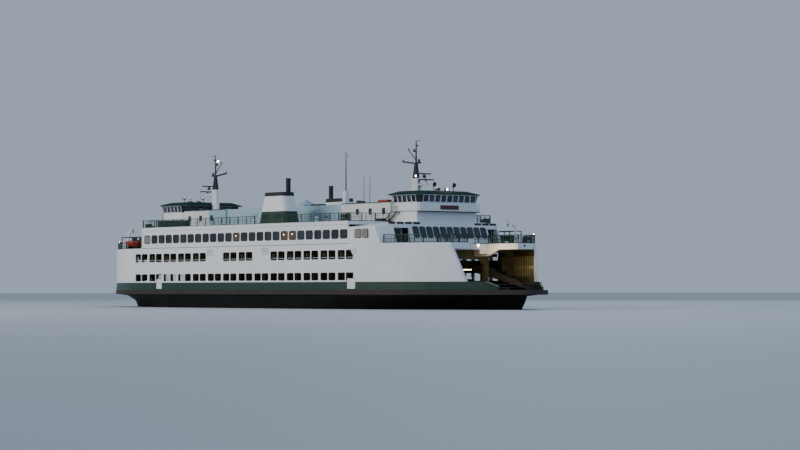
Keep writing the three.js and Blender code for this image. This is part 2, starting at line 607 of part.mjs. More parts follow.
function funnel() {
  const body = loft([
    funnelRing(SUN_DECK + SEAT, 6.7, 2.7, 0.8),
    funnelRing(13.1, 5.9, 2.5, 0.78),
    funnelRing(15.17, 4.7, 2.25, 0.75),
    funnelRing(15.2, 4.75, 2.3, 0.75),
    funnelRing(15.7, 4.6, 2.2, 0.72),
  ]);
  return join(body, post(FUNNEL.x + 1.75, FUNNEL.y + 0.25, 15.4, 17.55, 0.33, 0.33, 16));
}
addEnds('funnel', funnel(), whitePaint);

// Rescue boats on cradles in the deck wells, each in a cage and beside its slewing davit
const BOAT = { x: 31.6, y: 9.6, z: 9.35 };

function rescueBoat() {
  const hullRing = (z, length, breadth) => {
    const points = [[BOAT.x + length, BOAT.y], [BOAT.x + length * 0.62, BOAT.y + breadth * 0.72],
      [BOAT.x, BOAT.y + breadth], [BOAT.x - length, BOAT.y + breadth * 0.8], [BOAT.x - length, BOAT.y - breadth * 0.8],
      [BOAT.x, BOAT.y - breadth], [BOAT.x + length * 0.62, BOAT.y - breadth * 0.72]];
    return { z, points };
  };
  return loft([hullRing(BOAT.z - 0.4, 1.6, 0.45), hullRing(BOAT.z, 2, 0.8), hullRing(BOAT.z + 0.3, 2.15, 0.9)]);
}

const CAGE = { halfLength: 1.75, halfWidth: 0.97, top: 10.3, tube: 0.1 };

function cradle() {
  const half = CAGE.tube / 2;
  const foot = box(BOAT.x - CAGE.halfLength, BOAT.x + CAGE.halfLength, BOAT.y - 0.5, BOAT.y + 0.5,
    PASSENGER_DECK + SEAT, PASSENGER_DECK + 0.12);
  const chocks = [-1.1, 0.9].map((x) =>
    box(BOAT.x + x - 0.1, BOAT.x + x + 0.1, BOAT.y - 0.45, BOAT.y + 0.45, PASSENGER_DECK + 0.05, BOAT.z - 0.4 - SEAT));
  // One square frame stands at each end of the boat, and two rails join their heads.
  const frames = [-1, 1].flatMap((end) => {
    const x = BOAT.x + end * CAGE.halfLength;
    const outer = box(x - half, x + half, BOAT.y - CAGE.halfWidth - half, BOAT.y + CAGE.halfWidth + half,
      PASSENGER_DECK + SEAT, CAGE.top);
    const inner = box(x - 1, x + 1, BOAT.y - CAGE.halfWidth + half, BOAT.y + CAGE.halfWidth - half,
      PASSENGER_DECK + 0.1, CAGE.top - CAGE.tube);
    return cut(outer, inner);
  });
  const rails = [-1, 1].map((side) => {
    const y = BOAT.y + side * CAGE.halfWidth;
    return box(BOAT.x - CAGE.halfLength, BOAT.x + CAGE.halfLength, y - half, y + half, CAGE.top - CAGE.tube, CAGE.top);
  });
  return join(foot, ...chocks, ...frames, ...rails);
}

const DAVIT = { x: 34.1, y: 9, reach: [-2.2, 0.5] };

function davit() {
  const column = post(DAVIT.x, DAVIT.y, PASSENGER_DECK + SEAT, PASSENGER_DECK + 2.6, 0.2, 0.16, 12);
  const along = (share) => [DAVIT.x + DAVIT.reach[0] * share, DAVIT.y + DAVIT.reach[1] * share];
  const arm = bar([...along(0), PASSENGER_DECK + 2.4], [...along(1), PASSENGER_DECK + 3.2], 0.2);
  const brace = bar([...along(0), PASSENGER_DECK + 1.7], [...along(0.5), PASSENGER_DECK + 2.8], 0.12);
  return join(column, arm, brace);
}
addEnds('rescue_boat', rescueBoat(), orangePaint);
addEnds('boat_cradle', cradle(), blackPaint);
addEnds('davit', davit(), whitePaint);

// Railings: a flat panel with open bays, joined at the corners
const RAIL_THICKNESS = 0.06;

function railPanel(from, to, pitch, z) {
  const [x0, y0] = from;
  const [x1, y1] = to;
  const length = Math.hypot(x1 - x0, y1 - y0);
  const bays = Math.max(1, Math.round(length / pitch));
  const edge = 0.07;
  const openings = [];
  for (let i = 0; i < bays; i += 1) {
    const left = (i * length) / bays + edge;
    const right = ((i + 1) * length) / bays - edge;
    openings.push(box(left, right, -1, 1, 0.1, RAIL_HEIGHT - 0.08));
  }
  return cut(box(0, length, -RAIL_THICKNESS / 2, RAIL_THICKNESS / 2, 0, RAIL_HEIGHT), ...openings)
    .rotateZ(Math.atan2(y1 - y0, x1 - x0)).translate(x0, y0, z);
}

// A run of panels with a post at each corner.
function railRun(points, pitch, z) {
  const panels = points.slice(1).map((to, i) => railPanel(points[i], to, pitch, z));
  const posts = points.map(([x, y]) => box(x - 0.06, x + 0.06, y - 0.06, y + 0.06, z, z + RAIL_HEIGHT + 0.03));
  return join(...panels, ...posts);
}

const SUN_RAIL_Y = -11.82;
const sunRailZ = SUN_DECK + SEAT;
const sunRail = join(
  railRun([[-25.3, -5.2], [-25.3, SUN_RAIL_Y], [FUNNEL.x - 3.5, SUN_RAIL_Y]], 2, sunRailZ),
  box(FUNNEL.x - 3.6, FUNNEL.x + 3.6, SUN_RAIL_Y - 0.03, SUN_RAIL_Y + 0.03, sunRailZ, sunRailZ + 0.1),
  railRun([[FUNNEL.x + 3.5, SUN_RAIL_Y], [25.3, SUN_RAIL_Y], [25.3, -5.2]], 2, sunRailZ),
);
add('sun_rail_starboard', sunRail, greenPaint);
add('sun_rail_port', halfTurn(sunRail), greenPaint);

const railZ = PASSENGER_DECK + SEAT;
// No rail stands beside the boat, where it is swung out.
const forkRun = [[31.75, -10.85], [35, -9.75], [37.3, -8.8], [40.5, -6.85], [40.5, -4.2], [34.4, -4.2], [34.4, 4.2],
  [40.5, 4.2], [40.5, 6.85], [37.3, 8.8], [35.5, 9.6]];
addEnds('fork_rail', railRun(forkRun, 1.6, railZ), greenPaint);

export default ferry;
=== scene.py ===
import math

import bmesh
import bpy
from mathutils import Matrix, Vector


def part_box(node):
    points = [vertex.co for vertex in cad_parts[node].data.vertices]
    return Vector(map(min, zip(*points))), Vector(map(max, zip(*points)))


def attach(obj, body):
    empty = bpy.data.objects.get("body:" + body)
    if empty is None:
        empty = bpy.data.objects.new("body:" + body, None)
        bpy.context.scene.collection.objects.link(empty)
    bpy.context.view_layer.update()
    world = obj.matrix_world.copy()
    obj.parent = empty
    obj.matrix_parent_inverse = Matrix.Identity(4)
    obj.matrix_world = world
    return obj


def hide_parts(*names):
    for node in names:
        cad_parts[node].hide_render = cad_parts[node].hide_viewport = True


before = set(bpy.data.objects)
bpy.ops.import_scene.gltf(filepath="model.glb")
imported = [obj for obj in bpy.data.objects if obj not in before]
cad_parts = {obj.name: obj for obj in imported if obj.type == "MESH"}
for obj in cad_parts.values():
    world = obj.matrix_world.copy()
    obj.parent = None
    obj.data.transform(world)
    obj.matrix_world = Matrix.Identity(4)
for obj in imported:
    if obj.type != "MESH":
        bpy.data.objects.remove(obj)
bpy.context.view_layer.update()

# The ship's own sizes are written in real metres. The model is a tenth of them.
S = 0.1
MM = 0.001


def lowest(node):
    """A node's lowest height in real metres."""
    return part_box(node)[0][2] / S


def highest(node):
    """A node's greatest height in real metres."""
    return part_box(node)[1][2] / S


CAR_DECK = highest("main_deck")
DECK_UNDER = lowest("passenger_deck")
DECK_TOP = highest("passenger_deck")
SUN_UNDER = lowest("sun_deck")
SUN_DECK = highest("sun_deck")
CREW_ROOF = highest("crew_house_1")
ROOF_TOP = highest("pilothouse_roof_1")
BOAT_RIM = highest("rescue_boat_1")
SHELL_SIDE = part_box("side_shell_port")[1][1] / S
HALF_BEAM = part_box("guard")[1][1] / S
SIDES = (-1, 1)

# The plan outline: straight sides, an arc, a straight run and a rounded tip
PARALLEL = 25.5
SIDE_RADIUS = 26.1
TIP_RADIUS = 2.4
TIP_CENTRE = 50.0 - TIP_RADIUS
ARC_CENTRE_Y = HALF_BEAM - SIDE_RADIUS
RUN_NORMAL = math.atan2(-ARC_CENTRE_Y, TIP_CENTRE - PARALLEL) + math.acos(
    (SIDE_RADIUS - TIP_RADIUS) / math.hypot(TIP_CENTRE - PARALLEL, ARC_CENTRE_Y))


def half_breadth(x, inset=0.0):
    """Half the outline's breadth at x, moved in by inset, in real metres."""
    reach = abs(x) - PARALLEL
    radius = SIDE_RADIUS - inset
    if reach <= 0:
        return HALF_BEAM - inset
    if reach <= radius * math.cos(RUN_NORMAL):
        return ARC_CENTRE_Y + math.sqrt(radius ** 2 - reach ** 2)
    return ARC_CENTRE_Y + (radius - reach * math.cos(RUN_NORMAL)) / math.sin(RUN_NORMAL)


# Shader nodes

def srgb(code):
    """A hex sRGB colour as linear RGBA."""
    channels = [int(code[i:i + 2], 16) / 255 for i in (1, 3, 5)]
    return [c / 12.92 if c <= 0.04045 else ((c + 0.055) / 1.055) ** 2.4 for c in channels] + [1.0]


# A Mix node's two colour sockets and its colour output, by number because their names repeat
FIRST, SECOND, MIXED = 6, 7, 2


def add_node(tree, kind, sockets=None, links=None, give=None, **options):
    """Adds a node with its options, socket values and incoming links, and gives it or one of its outputs."""
    node = tree.nodes.new(kind)
    for key, value in options.items():
        setattr(node, key, value)
    for key, value in (sockets or {}).items():
        node.inputs[key].default_value = value
    for key, output in (links or {}).items():
        tree.links.new(output, node.inputs[key])
    return node if give is None else node.outputs[give]


def new_material(name, **shader):
    """A material with a Principled shader, its constants set on its own sockets."""
    material = bpy.data.materials.new(name)
    material.use_nodes = True
    tree = material.node_tree
    tree.nodes.clear()
    surface = add_node(tree, "ShaderNodeBsdfPrincipled", shader)
    add_node(tree, "ShaderNodeOutputMaterial", links={"Surface": surface.outputs["BSDF"]})
    return material, tree, surface


def feed(node, links):
    """Links outputs to a node's sockets."""
    for key, output in links.items():
        node.id_data.links.new(output, node.inputs[key])


def coat(material):
    """A material's tree, its shader, what feeds the shader's colour, and the Object coordinates."""
    tree = material.node_tree
    surface = next(n for n in tree.nodes if n.type == "BSDF_PRINCIPLED")
    place = add_node(tree, "ShaderNodeTexCoord", give="Object")
    return tree, surface, surface.inputs["Base Color"].links[0].from_socket, place


# Marine enamel is brushed or rolled on steel plate: satin, faintly wavy from the welds behind it,
# with thin vertical weather streaks.
STREAK_WIDTH = 35 * MM
PLATE_WAVE = 180 * MM
PATCH_SIZE = PLATE_WAVE * 2.5
ROLLER_GRAIN = 4 * MM
BAND_BLUR = 0.01


def enamel(name, colour, worn, roughness=0.42, streaks=0.6, wave=0.25, ior=1.5):
    material, tree, surface = new_material(name, IOR=ior)
    place = add_node(tree, "ShaderNodeTexCoord", give="Object")
    upright = add_node(tree, "ShaderNodeMapping", {"Scale": (1, 1, 0.12)}, {"Vector": place}, "Vector")
    streak = add_node(tree, "ShaderNodeTexNoise", {"Scale": 1 / STREAK_WIDTH, "Detail": 4},
                      {"Vector": upright}, "Fac")
    patch = add_node(tree, "ShaderNodeTexNoise", {"Scale": 1 / PATCH_SIZE, "Detail": 5},
                     {"Vector": place}, "Fac")
    plates = add_node(tree, "ShaderNodeTexNoise", {"Scale": 1 / PLATE_WAVE, "Detail": 2},
                      {"Vector": place}, "Fac")
    grain = add_node(tree, "ShaderNodeTexNoise", {"Scale": 1 / ROLLER_GRAIN, "Detail": 2},
                     {"Vector": place}, "Fac")
    streaked = add_node(tree, "ShaderNodeMapRange", {"From Min": 0.52, "From Max": 0.78, "To Max": streaks},
                        {"Value": streak}, "Result")
    patched = add_node(tree, "ShaderNodeMapRange", {"From Min": 0.45, "From Max": 0.8, "To Max": streaks},
                       {"Value": patch}, "Result")
    sheen = add_node(tree, "ShaderNodeMapRange", {"From Min": 0.3, "From Max": 0.7, "To Min": roughness - 0.08,
                                                  "To Max": roughness + 0.1}, {"Value": patch}, "Result")
    runs = add_node(tree, "ShaderNodeMix", {FIRST: srgb(colour), SECOND: srgb(worn)}, {"Factor": streaked},
                    MIXED, data_type="RGBA")
    shade = add_node(tree, "ShaderNodeMix", {SECOND: srgb(worn)}, {"Factor": patched, FIRST: runs},
                     MIXED, data_type="RGBA")
    coarse = add_node(tree, "ShaderNodeBump", {"Strength": wave, "Distance": 6 * MM},
                      {"Height": plates}, "Normal")
    fine = add_node(tree, "ShaderNodeBump", {"Strength": 0.12, "Distance": 0.6 * MM},
                    {"Height": grain, "Normal": coarse}, "Normal")
    feed(surface, {"Base Color": shade, "Roughness": sheen, "Normal": fine})
    return material


def banded_enamel(name, bands, worn, roughness=0.42, ior=1.5):
    """Enamel in bands by height: bands is a list of (lower edge in real metres, colour)."""
    material = enamel(name, bands[0][1], worn, roughness, ior=ior)
    tree, surface, base, place = coat(material)
    height = add_node(tree, "ShaderNodeSeparateXYZ", links={"Vector": place}, give="Z")
    for edge, colour in bands[1:]:
        higher = add_node(tree, "ShaderNodeMapRange", {"From Min": (edge - BAND_BLUR) * S,
                                                       "From Max": (edge + BAND_BLUR) * S},
                          {"Value": height}, "Result")
        base = add_node(tree, "ShaderNodeMix", {SECOND: srgb(colour)}, {"Factor": higher, FIRST: base},
                        MIXED, data_type="RGBA")
    feed(surface, {"Base Color": base})
    return material


def decked(material, deck_colour):
    """Gives an enamelled piece non-slip deck paint where it faces up."""
    tree, surface, base, place = coat(material)
    wear = add_node(tree, "ShaderNodeTexNoise", {"Scale": 1 / (60 * MM), "Detail": 6},
                    {"Vector": place}, "Fac")
    worn = add_node(tree, "ShaderNodeMapRange", {"From Min": 0.4, "From Max": 0.7, "To Max": 0.5},
                    {"Value": wear}, "Result")
    normal = add_node(tree, "ShaderNodeNewGeometry", give="Normal")
    rise = add_node(tree, "ShaderNodeSeparateXYZ", links={"Vector": normal}, give="Z")
    upward = add_node(tree, "ShaderNodeMapRange", {"From Min": 0.75, "From Max": 0.85},
                      {"Value": rise}, "Result")
    deck = add_node(tree, "ShaderNodeMix", {FIRST: srgb(deck_colour), SECOND: srgb("#6f7674")},
                    {"Factor": worn}, MIXED, data_type="RGBA")
    shade = add_node(tree, "ShaderNodeMix", links={"Factor": upward, FIRST: base, SECOND: deck},
                     give=MIXED, data_type="RGBA")
    feed(surface, {"Base Color": shade})
    return material


def lined(material, inside):
    """Gives a side shell its inner colour on every face that doesn't look outboard, up to its ends."""
    tree, surface, base, place = coat(material)
    spot = add_node(tree, "ShaderNodeSeparateXYZ", links={"Vector": place})
    normal = add_node(tree, "ShaderNodeNewGeometry", give="Normal")
    facing = add_node(tree, "ShaderNodeSeparateXYZ", links={"Vector": normal}, give="Y")
    outboard = add_node(tree, "ShaderNodeMath", links={0: facing, 1: spot.outputs["Y"]}, give="Value",
                        operation="MULTIPLY")
    reach = add_node(tree, "ShaderNodeMath", links={0: spot.outputs["X"]}, give="Value", operation="ABSOLUTE")
    outer = add_node(tree, "ShaderNodeMapRange", {"From Min": 0.1, "From Max": 0.3},
                     {"Value": outboard}, "Result")
    ends = add_node(tree, "ShaderNodeMapRange", {"From Min": 40.3 * S, "From Max": 40.4 * S},
                    {"Value": reach}, "Result")
    white = add_node(tree, "ShaderNodeMath", links={0: outer, 1: ends}, give="Value", operation="MAXIMUM")
    shade = add_node(tree, "ShaderNodeMix", {FIRST: srgb(inside)}, {"Factor": white, SECOND: base},
                     MIXED, data_type="RGBA")
    feed(surface, {"Base Color": shade})
    return material


def blue_backed(material, colour):
    """Gives a crew house the casing's colour on the inner part of the side that end 2 shows."""
    tree, surface, base, place = coat(material)
    spot = add_node(tree, "ShaderNodeSeparateXYZ", links={"Vector": place})
    quarter = add_node(tree, "ShaderNodeMath", links={0: spot.outputs["X"], 1: spot.outputs["Y"]},
                       give="Value", operation="MULTIPLY")
    reach = add_node(tree, "ShaderNodeMath", links={0: spot.outputs["X"]}, give="Value", operation="ABSOLUTE")
    shown = add_node(tree, "ShaderNodeMapRange", {"From Min": 0.3, "From Max": 0.31},
                     {"Value": quarter}, "Result")
    inner = add_node(tree, "ShaderNodeMapRange", {"From Min": 18.55 * S, "From Max": 18.6 * S, "To Min": 1.0,
                                                  "To Max": 0.0}, {"Value": reach}, "Result")
    blue = add_node(tree, "ShaderNodeMath", links={0: shown, 1: inner}, give="Value", operation="MINIMUM")
    shade = add_node(tree, "ShaderNodeMix", {SECOND: srgb(colour)}, {"Factor": blue, FIRST: base},
                     MIXED, data_type="RGBA")
    feed(surface, {"Base Color": shade})
    return material


def scuffed_guard():
    # Steel belting painted brown-black, rubbed along its length by dock timbers.
    material, tree, surface = new_material("guard_belting_paint", IOR=1.5)
    place = add_node(tree, "ShaderNodeTexCoord", give="Object")
    lengthwise = add_node(tree, "ShaderNodeMapping", {"Scale": (0.12, 0.12, 1)}, {"Vector": place}, "Vector")
    rub = add_node(tree, "ShaderNodeTexNoise", {"Scale": 1 / (30 * MM), "Detail": 6},
                   {"Vector": lengthwise}, "Fac")
    chip = add_node(tree, "ShaderNodeTexNoise", {"Scale": 1 / (12 * MM), "Detail": 4},
                    {"Vector": place}, "Fac")
    rubbed = add_node(tree, "ShaderNodeMapRange", {"From Min": 0.45, "From Max": 0.72},
                      {"Value": rub}, "Result")
    chipped = add_node(tree, "ShaderNodeMapRange", {"From Min": 0.6, "From Max": 0.75, "To Max": 0.6},
                       {"Value": chip}, "Result")
    sheen = add_node(tree, "ShaderNodeMapRange", {"From Min": 0.3, "From Max": 0.7, "To Min": 0.6, "To Max": 0.85},
                     {"Value": rub}, "Result")
    paint = add_node(tree, "ShaderNodeMix", {FIRST: srgb("#2a2322"), SECOND: srgb("#493c38")},
                     {"Factor": rubbed}, MIXED, data_type="RGBA")
    shade = add_node(tree, "ShaderNodeMix", {SECOND: srgb("#5a4a44")}, {"Factor": chipped, FIRST: paint},
                     MIXED, data_type="RGBA")
    scuffs = add_node(tree, "ShaderNodeBump", {"Strength": 0.5, "Distance": 3 * MM},
                      {"Height": rub}, "Normal")
    feed(surface, {"Base Color": shade, "Roughness": sheen, "Normal": scuffs})
    return material


def window_glass():
    # Laminated ship's glass: smooth, grey-green and lightly tinted.
    material, tree, surface = new_material("window_glass", **{
        "Base Color": srgb("#74868e"), "Roughness": 0.03, "IOR": 1.5, "Transmission Weight": 0.92})
    place = add_node(tree, "ShaderNodeTexCoord", give="Object")
    upright = add_node(tree, "ShaderNodeMapping", {"Scale": (1, 1, 0.4)}, {"Vector": place}, "Vector")
    haze = add_node(tree, "ShaderNodeTexNoise", {"Scale": 1 / (90 * MM), "Detail": 3},
                    {"Vector": upright}, "Fac")
    sheen = add_node(tree, "ShaderNodeMapRange", {"From Min": 0.3, "From Max": 0.7, "To Min": 0.02, "To Max": 0.1},
                     {"Value": haze}, "Result")
    feed(surface, {"Roughness": sheen})
    return material


def dark_glass(name, dark, warm, reflected_sky):
    # Tinted cabin glass, dark with painted shade for the unlit room behind it, a little different from pane to
    # pane, with a painted sky reflection over it in clouds.
    material, tree, surface = new_material(name, IOR=1.5)
    place = add_node(tree, "ShaderNodeTexCoord", give="Object")
    along = add_node(tree, "ShaderNodeMapping", {"Scale": (1, 0.2, 0.2)}, {"Vector": place}, "Vector")
    pane = add_node(tree, "ShaderNodeTexNoise", {"Scale": 1 / (150 * MM), "Detail": 1},
                    {"Vector": along}, "Fac")
    cloud = add_node(tree, "ShaderNodeTexNoise", {"Scale": 1 / (420 * MM), "Detail": 2},
                     {"Vector": place}, "Fac")
    warmth = add_node(tree, "ShaderNodeMapRange", {"From Min": 0.42, "From Max": 0.6},
                      {"Value": pane}, "Result")
    painted_sky_reflection = add_node(tree, "ShaderNodeMapRange", {"From Min": 0.5, "From Max": 0.68, "To Max": 0.6},
                          {"Value": cloud}, "Result")
    sheen = add_node(tree, "ShaderNodeMapRange", {"From Min": 0.3, "From Max": 0.7, "To Min": 0.05,
                                                  "To Max": 0.14}, {"Value": pane}, "Result")
    tint = add_node(tree, "ShaderNodeMix", {FIRST: srgb(dark), SECOND: srgb(warm)}, {"Factor": warmth},
                    MIXED, data_type="RGBA")
    shade = add_node(tree, "ShaderNodeMix", {SECOND: srgb(reflected_sky)}, {"Factor": painted_sky_reflection, FIRST: tint},
                     MIXED, data_type="RGBA")
    feed(surface, {"Base Color": shade, "Roughness": sheen})
    return material


def lamp(name, colour, strength):
    return new_material(name, **{"Base Color": srgb(colour), "Roughness": 0.3, "Emission Color": srgb(colour),
                                 "Emission Strength": strength})[0]


TOPSIDE = ("#eff2f3", "#cdd2d3")
DARK_GREEN = "#133726"
SOOT_BLACK = "#15181a"
WHITE = enamel("topside_white_enamel", *TOPSIDE, 0.4, 0.35)
SHELL_WHITE = lined(enamel("side_shell_enamel", *TOPSIDE, 0.4, 0.35), "#4a4632")
WHITE_DECKED = decked(enamel("deck_edge_white_enamel", *TOPSIDE, 0.45, 0.35), "#4d5a57")
GREEN = enamel("bulwark_green_enamel", DARK_GREEN, "#1e4635", 0.42, 0.7)
GREEN_ROOF = enamel("roof_green_enamel", "#12352e", "#1f463c", 0.85, 0.6, ior=1.2)
RAIL_GREEN = enamel("rail_green_enamel", "#17372c", "#264b3e", 0.4, 0.4, 0.0)
BLACK = enamel("mast_black_enamel", "#141719", "#262a2d", 0.5, 0.5, 0.1)
PALE_BLUE = decked(enamel("casing_pale_blue_enamel", "#aecfdd", "#93b2be", 0.45, 0.5), "#7d9198")
OLIVE = enamel("car_deck_cream_enamel", "#7d795c", "#55523e", 0.5, 0.7)
PALE_OLIVE = enamel("shell_lining_cream_enamel", "#b3ae84", "#7b7656", 0.5, 0.8)
WING_PAINT = enamel("wing_deck_dark_enamel", "#43463f", "#2e302b", 0.6, 0.7)
DECK_PAINT = enamel("car_deck_grey_nonslip", "#3f4443", "#2b2e2e", 0.75, 0.8)
ORANGE = enamel("rescue_boat_orange", "#a8392a", "#7e2a20", 0.45, 0.4, 0.0)
GUARD = scuffed_guard()
# Topsides in green-black enamel, a black boot top at the water, dull red antifouling below it
HULL = banded_enamel("hull_coating", [(-9, "#3c1d19"), (-0.35, "#060707"), (0.35, "#080d0c")],
                     "#0f1514", 0.6, 1.3)
FUNNEL = banded_enamel("funnel_enamel", [(0, DARK_GREEN), (13.1, TOPSIDE[0]), (15.18, SOOT_BLACK)],
                       "#2b5848", 0.6)
CREW_WHITE = blue_backed(enamel("crew_house_enamel", *TOPSIDE, 0.4, 0.35), "#a6c6d3")
# The window band is dark between the white frames
BRIDGE = banded_enamel("pilothouse_enamel", [(0, TOPSIDE[0]), (13.87, "#20272c"), (14.87, TOPSIDE[0])],
                       TOPSIDE[1], 0.4)
MAST = banded_enamel("mast_enamel", [(0, TOPSIDE[0]), (17.28, SOOT_BLACK)], "#b4b8b8", 0.45)
BRONZE = enamel("propeller_bronze", "#8d6a3b", "#5d4a2e", 0.3, 0.5, 0.0)
ENGINE = enamel("engine_grey_enamel", "#5e666b", "#464c50", 0.5, 0.5)
GLASS = window_glass()
DARK_GLASS = dark_glass("cabin_glass_dark", "#11161a", "#322a26", "#303d49")
FRONT_GLASS = dark_glass("front_glass_dark", "#2b3744", "#3a3f49", "#4c5f73")
WARM_LAMP = lamp("warm_lamp", "#ffd9a0", 14.0)
DIM_LAMP = lamp("car_deck_tube_lamp", "#ffdcae", 4.0)
WHITE_LAMP = lamp("white_lamp", "#fff4e2", 22.0)
# The lit cabin panes glow faintly: painted light of the lit room behind them.
LIT_GLASS = lamp("cabin_glass_lit", "#5a4530", 0.12)
CURTAINED = enamel("curtained_glass", "#8b8880", "#6d6a64", 0.12, 0.5, 0.0)
RUBBER = enamel("window_rubber_gasket", "#23282a", "#34393b", 0.6, 0.4, 0.0)
VENT_GREY = enamel("vent_pale_grey_enamel", "#bcc2c4", "#a3a9ab", 0.5, 0.4, 0.0)
GREY = enamel("fittings_grey_enamel", "#8e979c", "#737c80", 0.5, 0.4, 0.0)
BUOY_WHITE = enamel("moulded_plastic_white", "#e3e2dc", "#c4c2b8", 0.35, 0.3, 0.0)
BOARD_RED = enamel("nameboard_dark_red_enamel", "#5b2420", "#44201d", 0.45, 0.5, 0.0)
CONSOLE = enamel("console_dark_laminate", "#2b2f33", "#3b4046", 0.5, 0.4, 0.0)
WIRE = enamel("galvanised_wire_rope", "#4b5054", "#33373a", 0.4, 0.6, 0.0)
LINE_YELLOW = enamel("lane_line_yellow", "#a08a2c", "#6c612c", 0.7, 0.8, 0.0)
ZINC = enamel("sacrificial_zinc", "#9a9ea0", "#6e7274", 0.6, 0.7, 0.1)
SEAM = enamel("seam_dark_sealant", "#3c4244", "#2a2e30", 0.6, 0.4, 0.0)

NODE_MATERIALS = {
    "hull": HULL, "rudder": HULL, "guard": GUARD, "main_deck": DECK_PAINT, "bulwark": GREEN,
    "side_shell": SHELL_WHITE, "side_door": WHITE, "passenger_deck": WHITE_DECKED, "centre_casing": OLIVE,
    "wing_deck": WING_PAINT, "portal_frame": OLIVE, "cabin_wall": WHITE, "sun_deck": WHITE_DECKED,
    "end_house": WHITE, "cabin_door": RAIL_GREEN, "crew_house": CREW_WHITE, "mid_casing": PALE_BLUE,
    "pilothouse_roof": GREEN_ROOF, "pilothouse": BRIDGE, "mast": MAST, "radar": BLACK, "funnel": FUNNEL,
    "rescue_boat": ORANGE, "rescue_boat_1": GREEN, "boat_cradle": BLACK, "davit": WHITE,
    "sun_rail": RAIL_GREEN, "fork_rail": RAIL_GREEN, "propeller": BRONZE, "main_engines": ENGINE,
}
for node_name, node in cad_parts.items():
    kind = max((k for k in NODE_MATERIALS if node_name.startswith(k)), key=len)
    node.data.materials.clear()
    node.data.materials.append(NODE_MATERIALS[kind])

# The colour slot that a piece of each paint takes, every other one white; piece() works it out but keeps it
# nowhere
SLOT_PAINTS = {
    "green_paint": (GREEN, RAIL_GREEN), "black_paint": (BLACK, CONSOLE, WIRE),
    "orange_paint": (ORANGE, BOARD_RED), "inner_paint": (OLIVE, PALE_OLIVE, WING_PAINT),
    "pale_blue_paint": (PALE_BLUE,), "bronze": (BRONZE, ZINC), "hull_paint": (HULL,), "deck": (LINE_YELLOW,),
}


# Shapes, drawn in real metres

def drawings(count):
    """Empty drawings, one for each piece."""
    return [bmesh.new() for _ in range(count)]


def around(middle, half):
    """A (low, high) pair round a middle."""
    return middle - half, middle + half


def off(base, low, high):
    """A (low, high) pair of two distances off a level, a wall or a middle."""
    return base + low, base + high


def across(side, a, b):
    """A (low, high) pair from two distances on one side of the middle."""
    return sorted((side * a, side * b))


def block(bm, x, y, z):
    """A box from three (low, high) pairs."""
    size = Vector((x[1] - x[0], y[1] - y[0], z[1] - z[0])) * S
    middle = Vector((x[0] + x[1], y[0] + y[1], z[0] + z[1])) * S / 2
    return bmesh.ops.create_cube(bm, size=1, matrix=Matrix.Translation(middle)
                                 @ Matrix.Diagonal((*size, 1)))["verts"]


def both_sides(bm, x, y, z):
    """The same box to port and to starboard, y being its two distances from the middle."""
    for side in SIDES:
        block(bm, x, across(side, *y), z)


def rod(bm, start, end, radius, sides=8, end_radius=None):
    """A round bar or cone between two points."""
    a, b = Vector(start) * S, Vector(end) * S
    turn = (b - a).to_track_quat("Z", "Y").to_matrix().to_4x4()
    last = radius if end_radius is None else end_radius
    return bmesh.ops.create_cone(bm, cap_ends=True, segments=sides, radius1=radius * S, radius2=last * S,
                                 depth=(b - a).length, matrix=Matrix.Translation((a + b) / 2) @ turn)["verts"]


def post(bm, x, y, low, high, radius, sides=8, end_radius=None):
    """An upright round bar or cone."""
    return rod(bm, (x, y, low), (x, y, high), radius, sides, end_radius)


def level_rod(bm, ends, y, z, radius, sides=8, end_radius=None):
    """A round bar or cone along x."""
    rod(bm, (ends[0], y, z), (ends[1], y, z), radius, sides, end_radius)


def ball(bm, centre, radius, squash_z=1.0, detail=10):
    place = Matrix.Translation(Vector(centre) * S) @ Matrix.Diagonal((1, 1, squash_z, 1))
    bmesh.ops.create_uvsphere(bm, u_segments=detail, v_segments=max(detail // 2, 4), radius=radius * S,
                              matrix=place)


def piece(name, bm, material, body="ship", bevel=0.0, slot=None):
    """Makes a finished piece from a drawing and hangs it on its body."""
    if bevel:
        edges = [e for e in bm.edges if len(e.link_faces) == 2 and e.calc_face_angle(0) > 0.6]
        bmesh.ops.bevel(bm, geom=edges, affect="EDGES", offset=bevel * S, segments=2, profile=0.5,
                        material=-1)
    mesh = pattern_mesh(name, bm)
    mesh.materials.append(material)
    obj = bpy.data.objects.new(name, mesh)
    bpy.context.scene.collection.objects.link(obj)
    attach(obj, body)
    slot = slot or next((key for key, paints in SLOT_PAINTS.items() if material in paints), "white_paint")
    return obj


def half_turn(bm):
    """Adds the half-turn copy of everything drawn so far."""
    copy = bmesh.ops.duplicate(bm, geom=bm.verts[:] + bm.edges[:] + bm.faces[:])["geom"]
    verts = [v for v in copy if isinstance(v, bmesh.types.BMVert)]
    bmesh.ops.rotate(bm, verts=verts, matrix=Matrix.Rotation(math.pi, 3, "Z"))


def turned_half(bm):
    """Turns everything drawn so far round to end 2."""
    bmesh.ops.rotate(bm, verts=bm.verts, matrix=Matrix.Rotation(math.pi, 3, "Z"))


def twins(name, bm, material, **options):
    """Makes a piece that holds the drawing at end 1 and its half-turn copy at end 2."""
    half_turn(bm)
    piece(name, bm, material, **options)


def panel(bm, start, end, low, high, thickness):
    """An upright plate standing between two points of the plan."""
    a, b = Vector((*start, 0)) * S, Vector((*end, 0)) * S
    place = Matrix.Translation((a + b) / 2 + Vector((0, 0, (low + high) / 2 * S)))
    turn = Matrix.Rotation(math.atan2(b.y - a.y, b.x - a.x), 4, "Z")
    size = Matrix.Diagonal(((b - a).length, thickness * S, (high - low) * S, 1))
    bmesh.ops.create_cube(bm, size=1, matrix=place @ turn @ size)


# Stamped patterns: a small mesh drawn once in real metres and placed many times

def wall_place(point, outward, up=(0, 0, 1)):
    """Puts local x across, y up and z outward of a wall at a point in real metres."""
    out = Vector(outward).normalized()
    rise = Vector(up).normalized()
    turn = Matrix((rise.cross(out), rise, out)).transposed().to_4x4()
    return Matrix.Translation(Vector(point) * S) @ turn @ Matrix.Scale(S, 4)


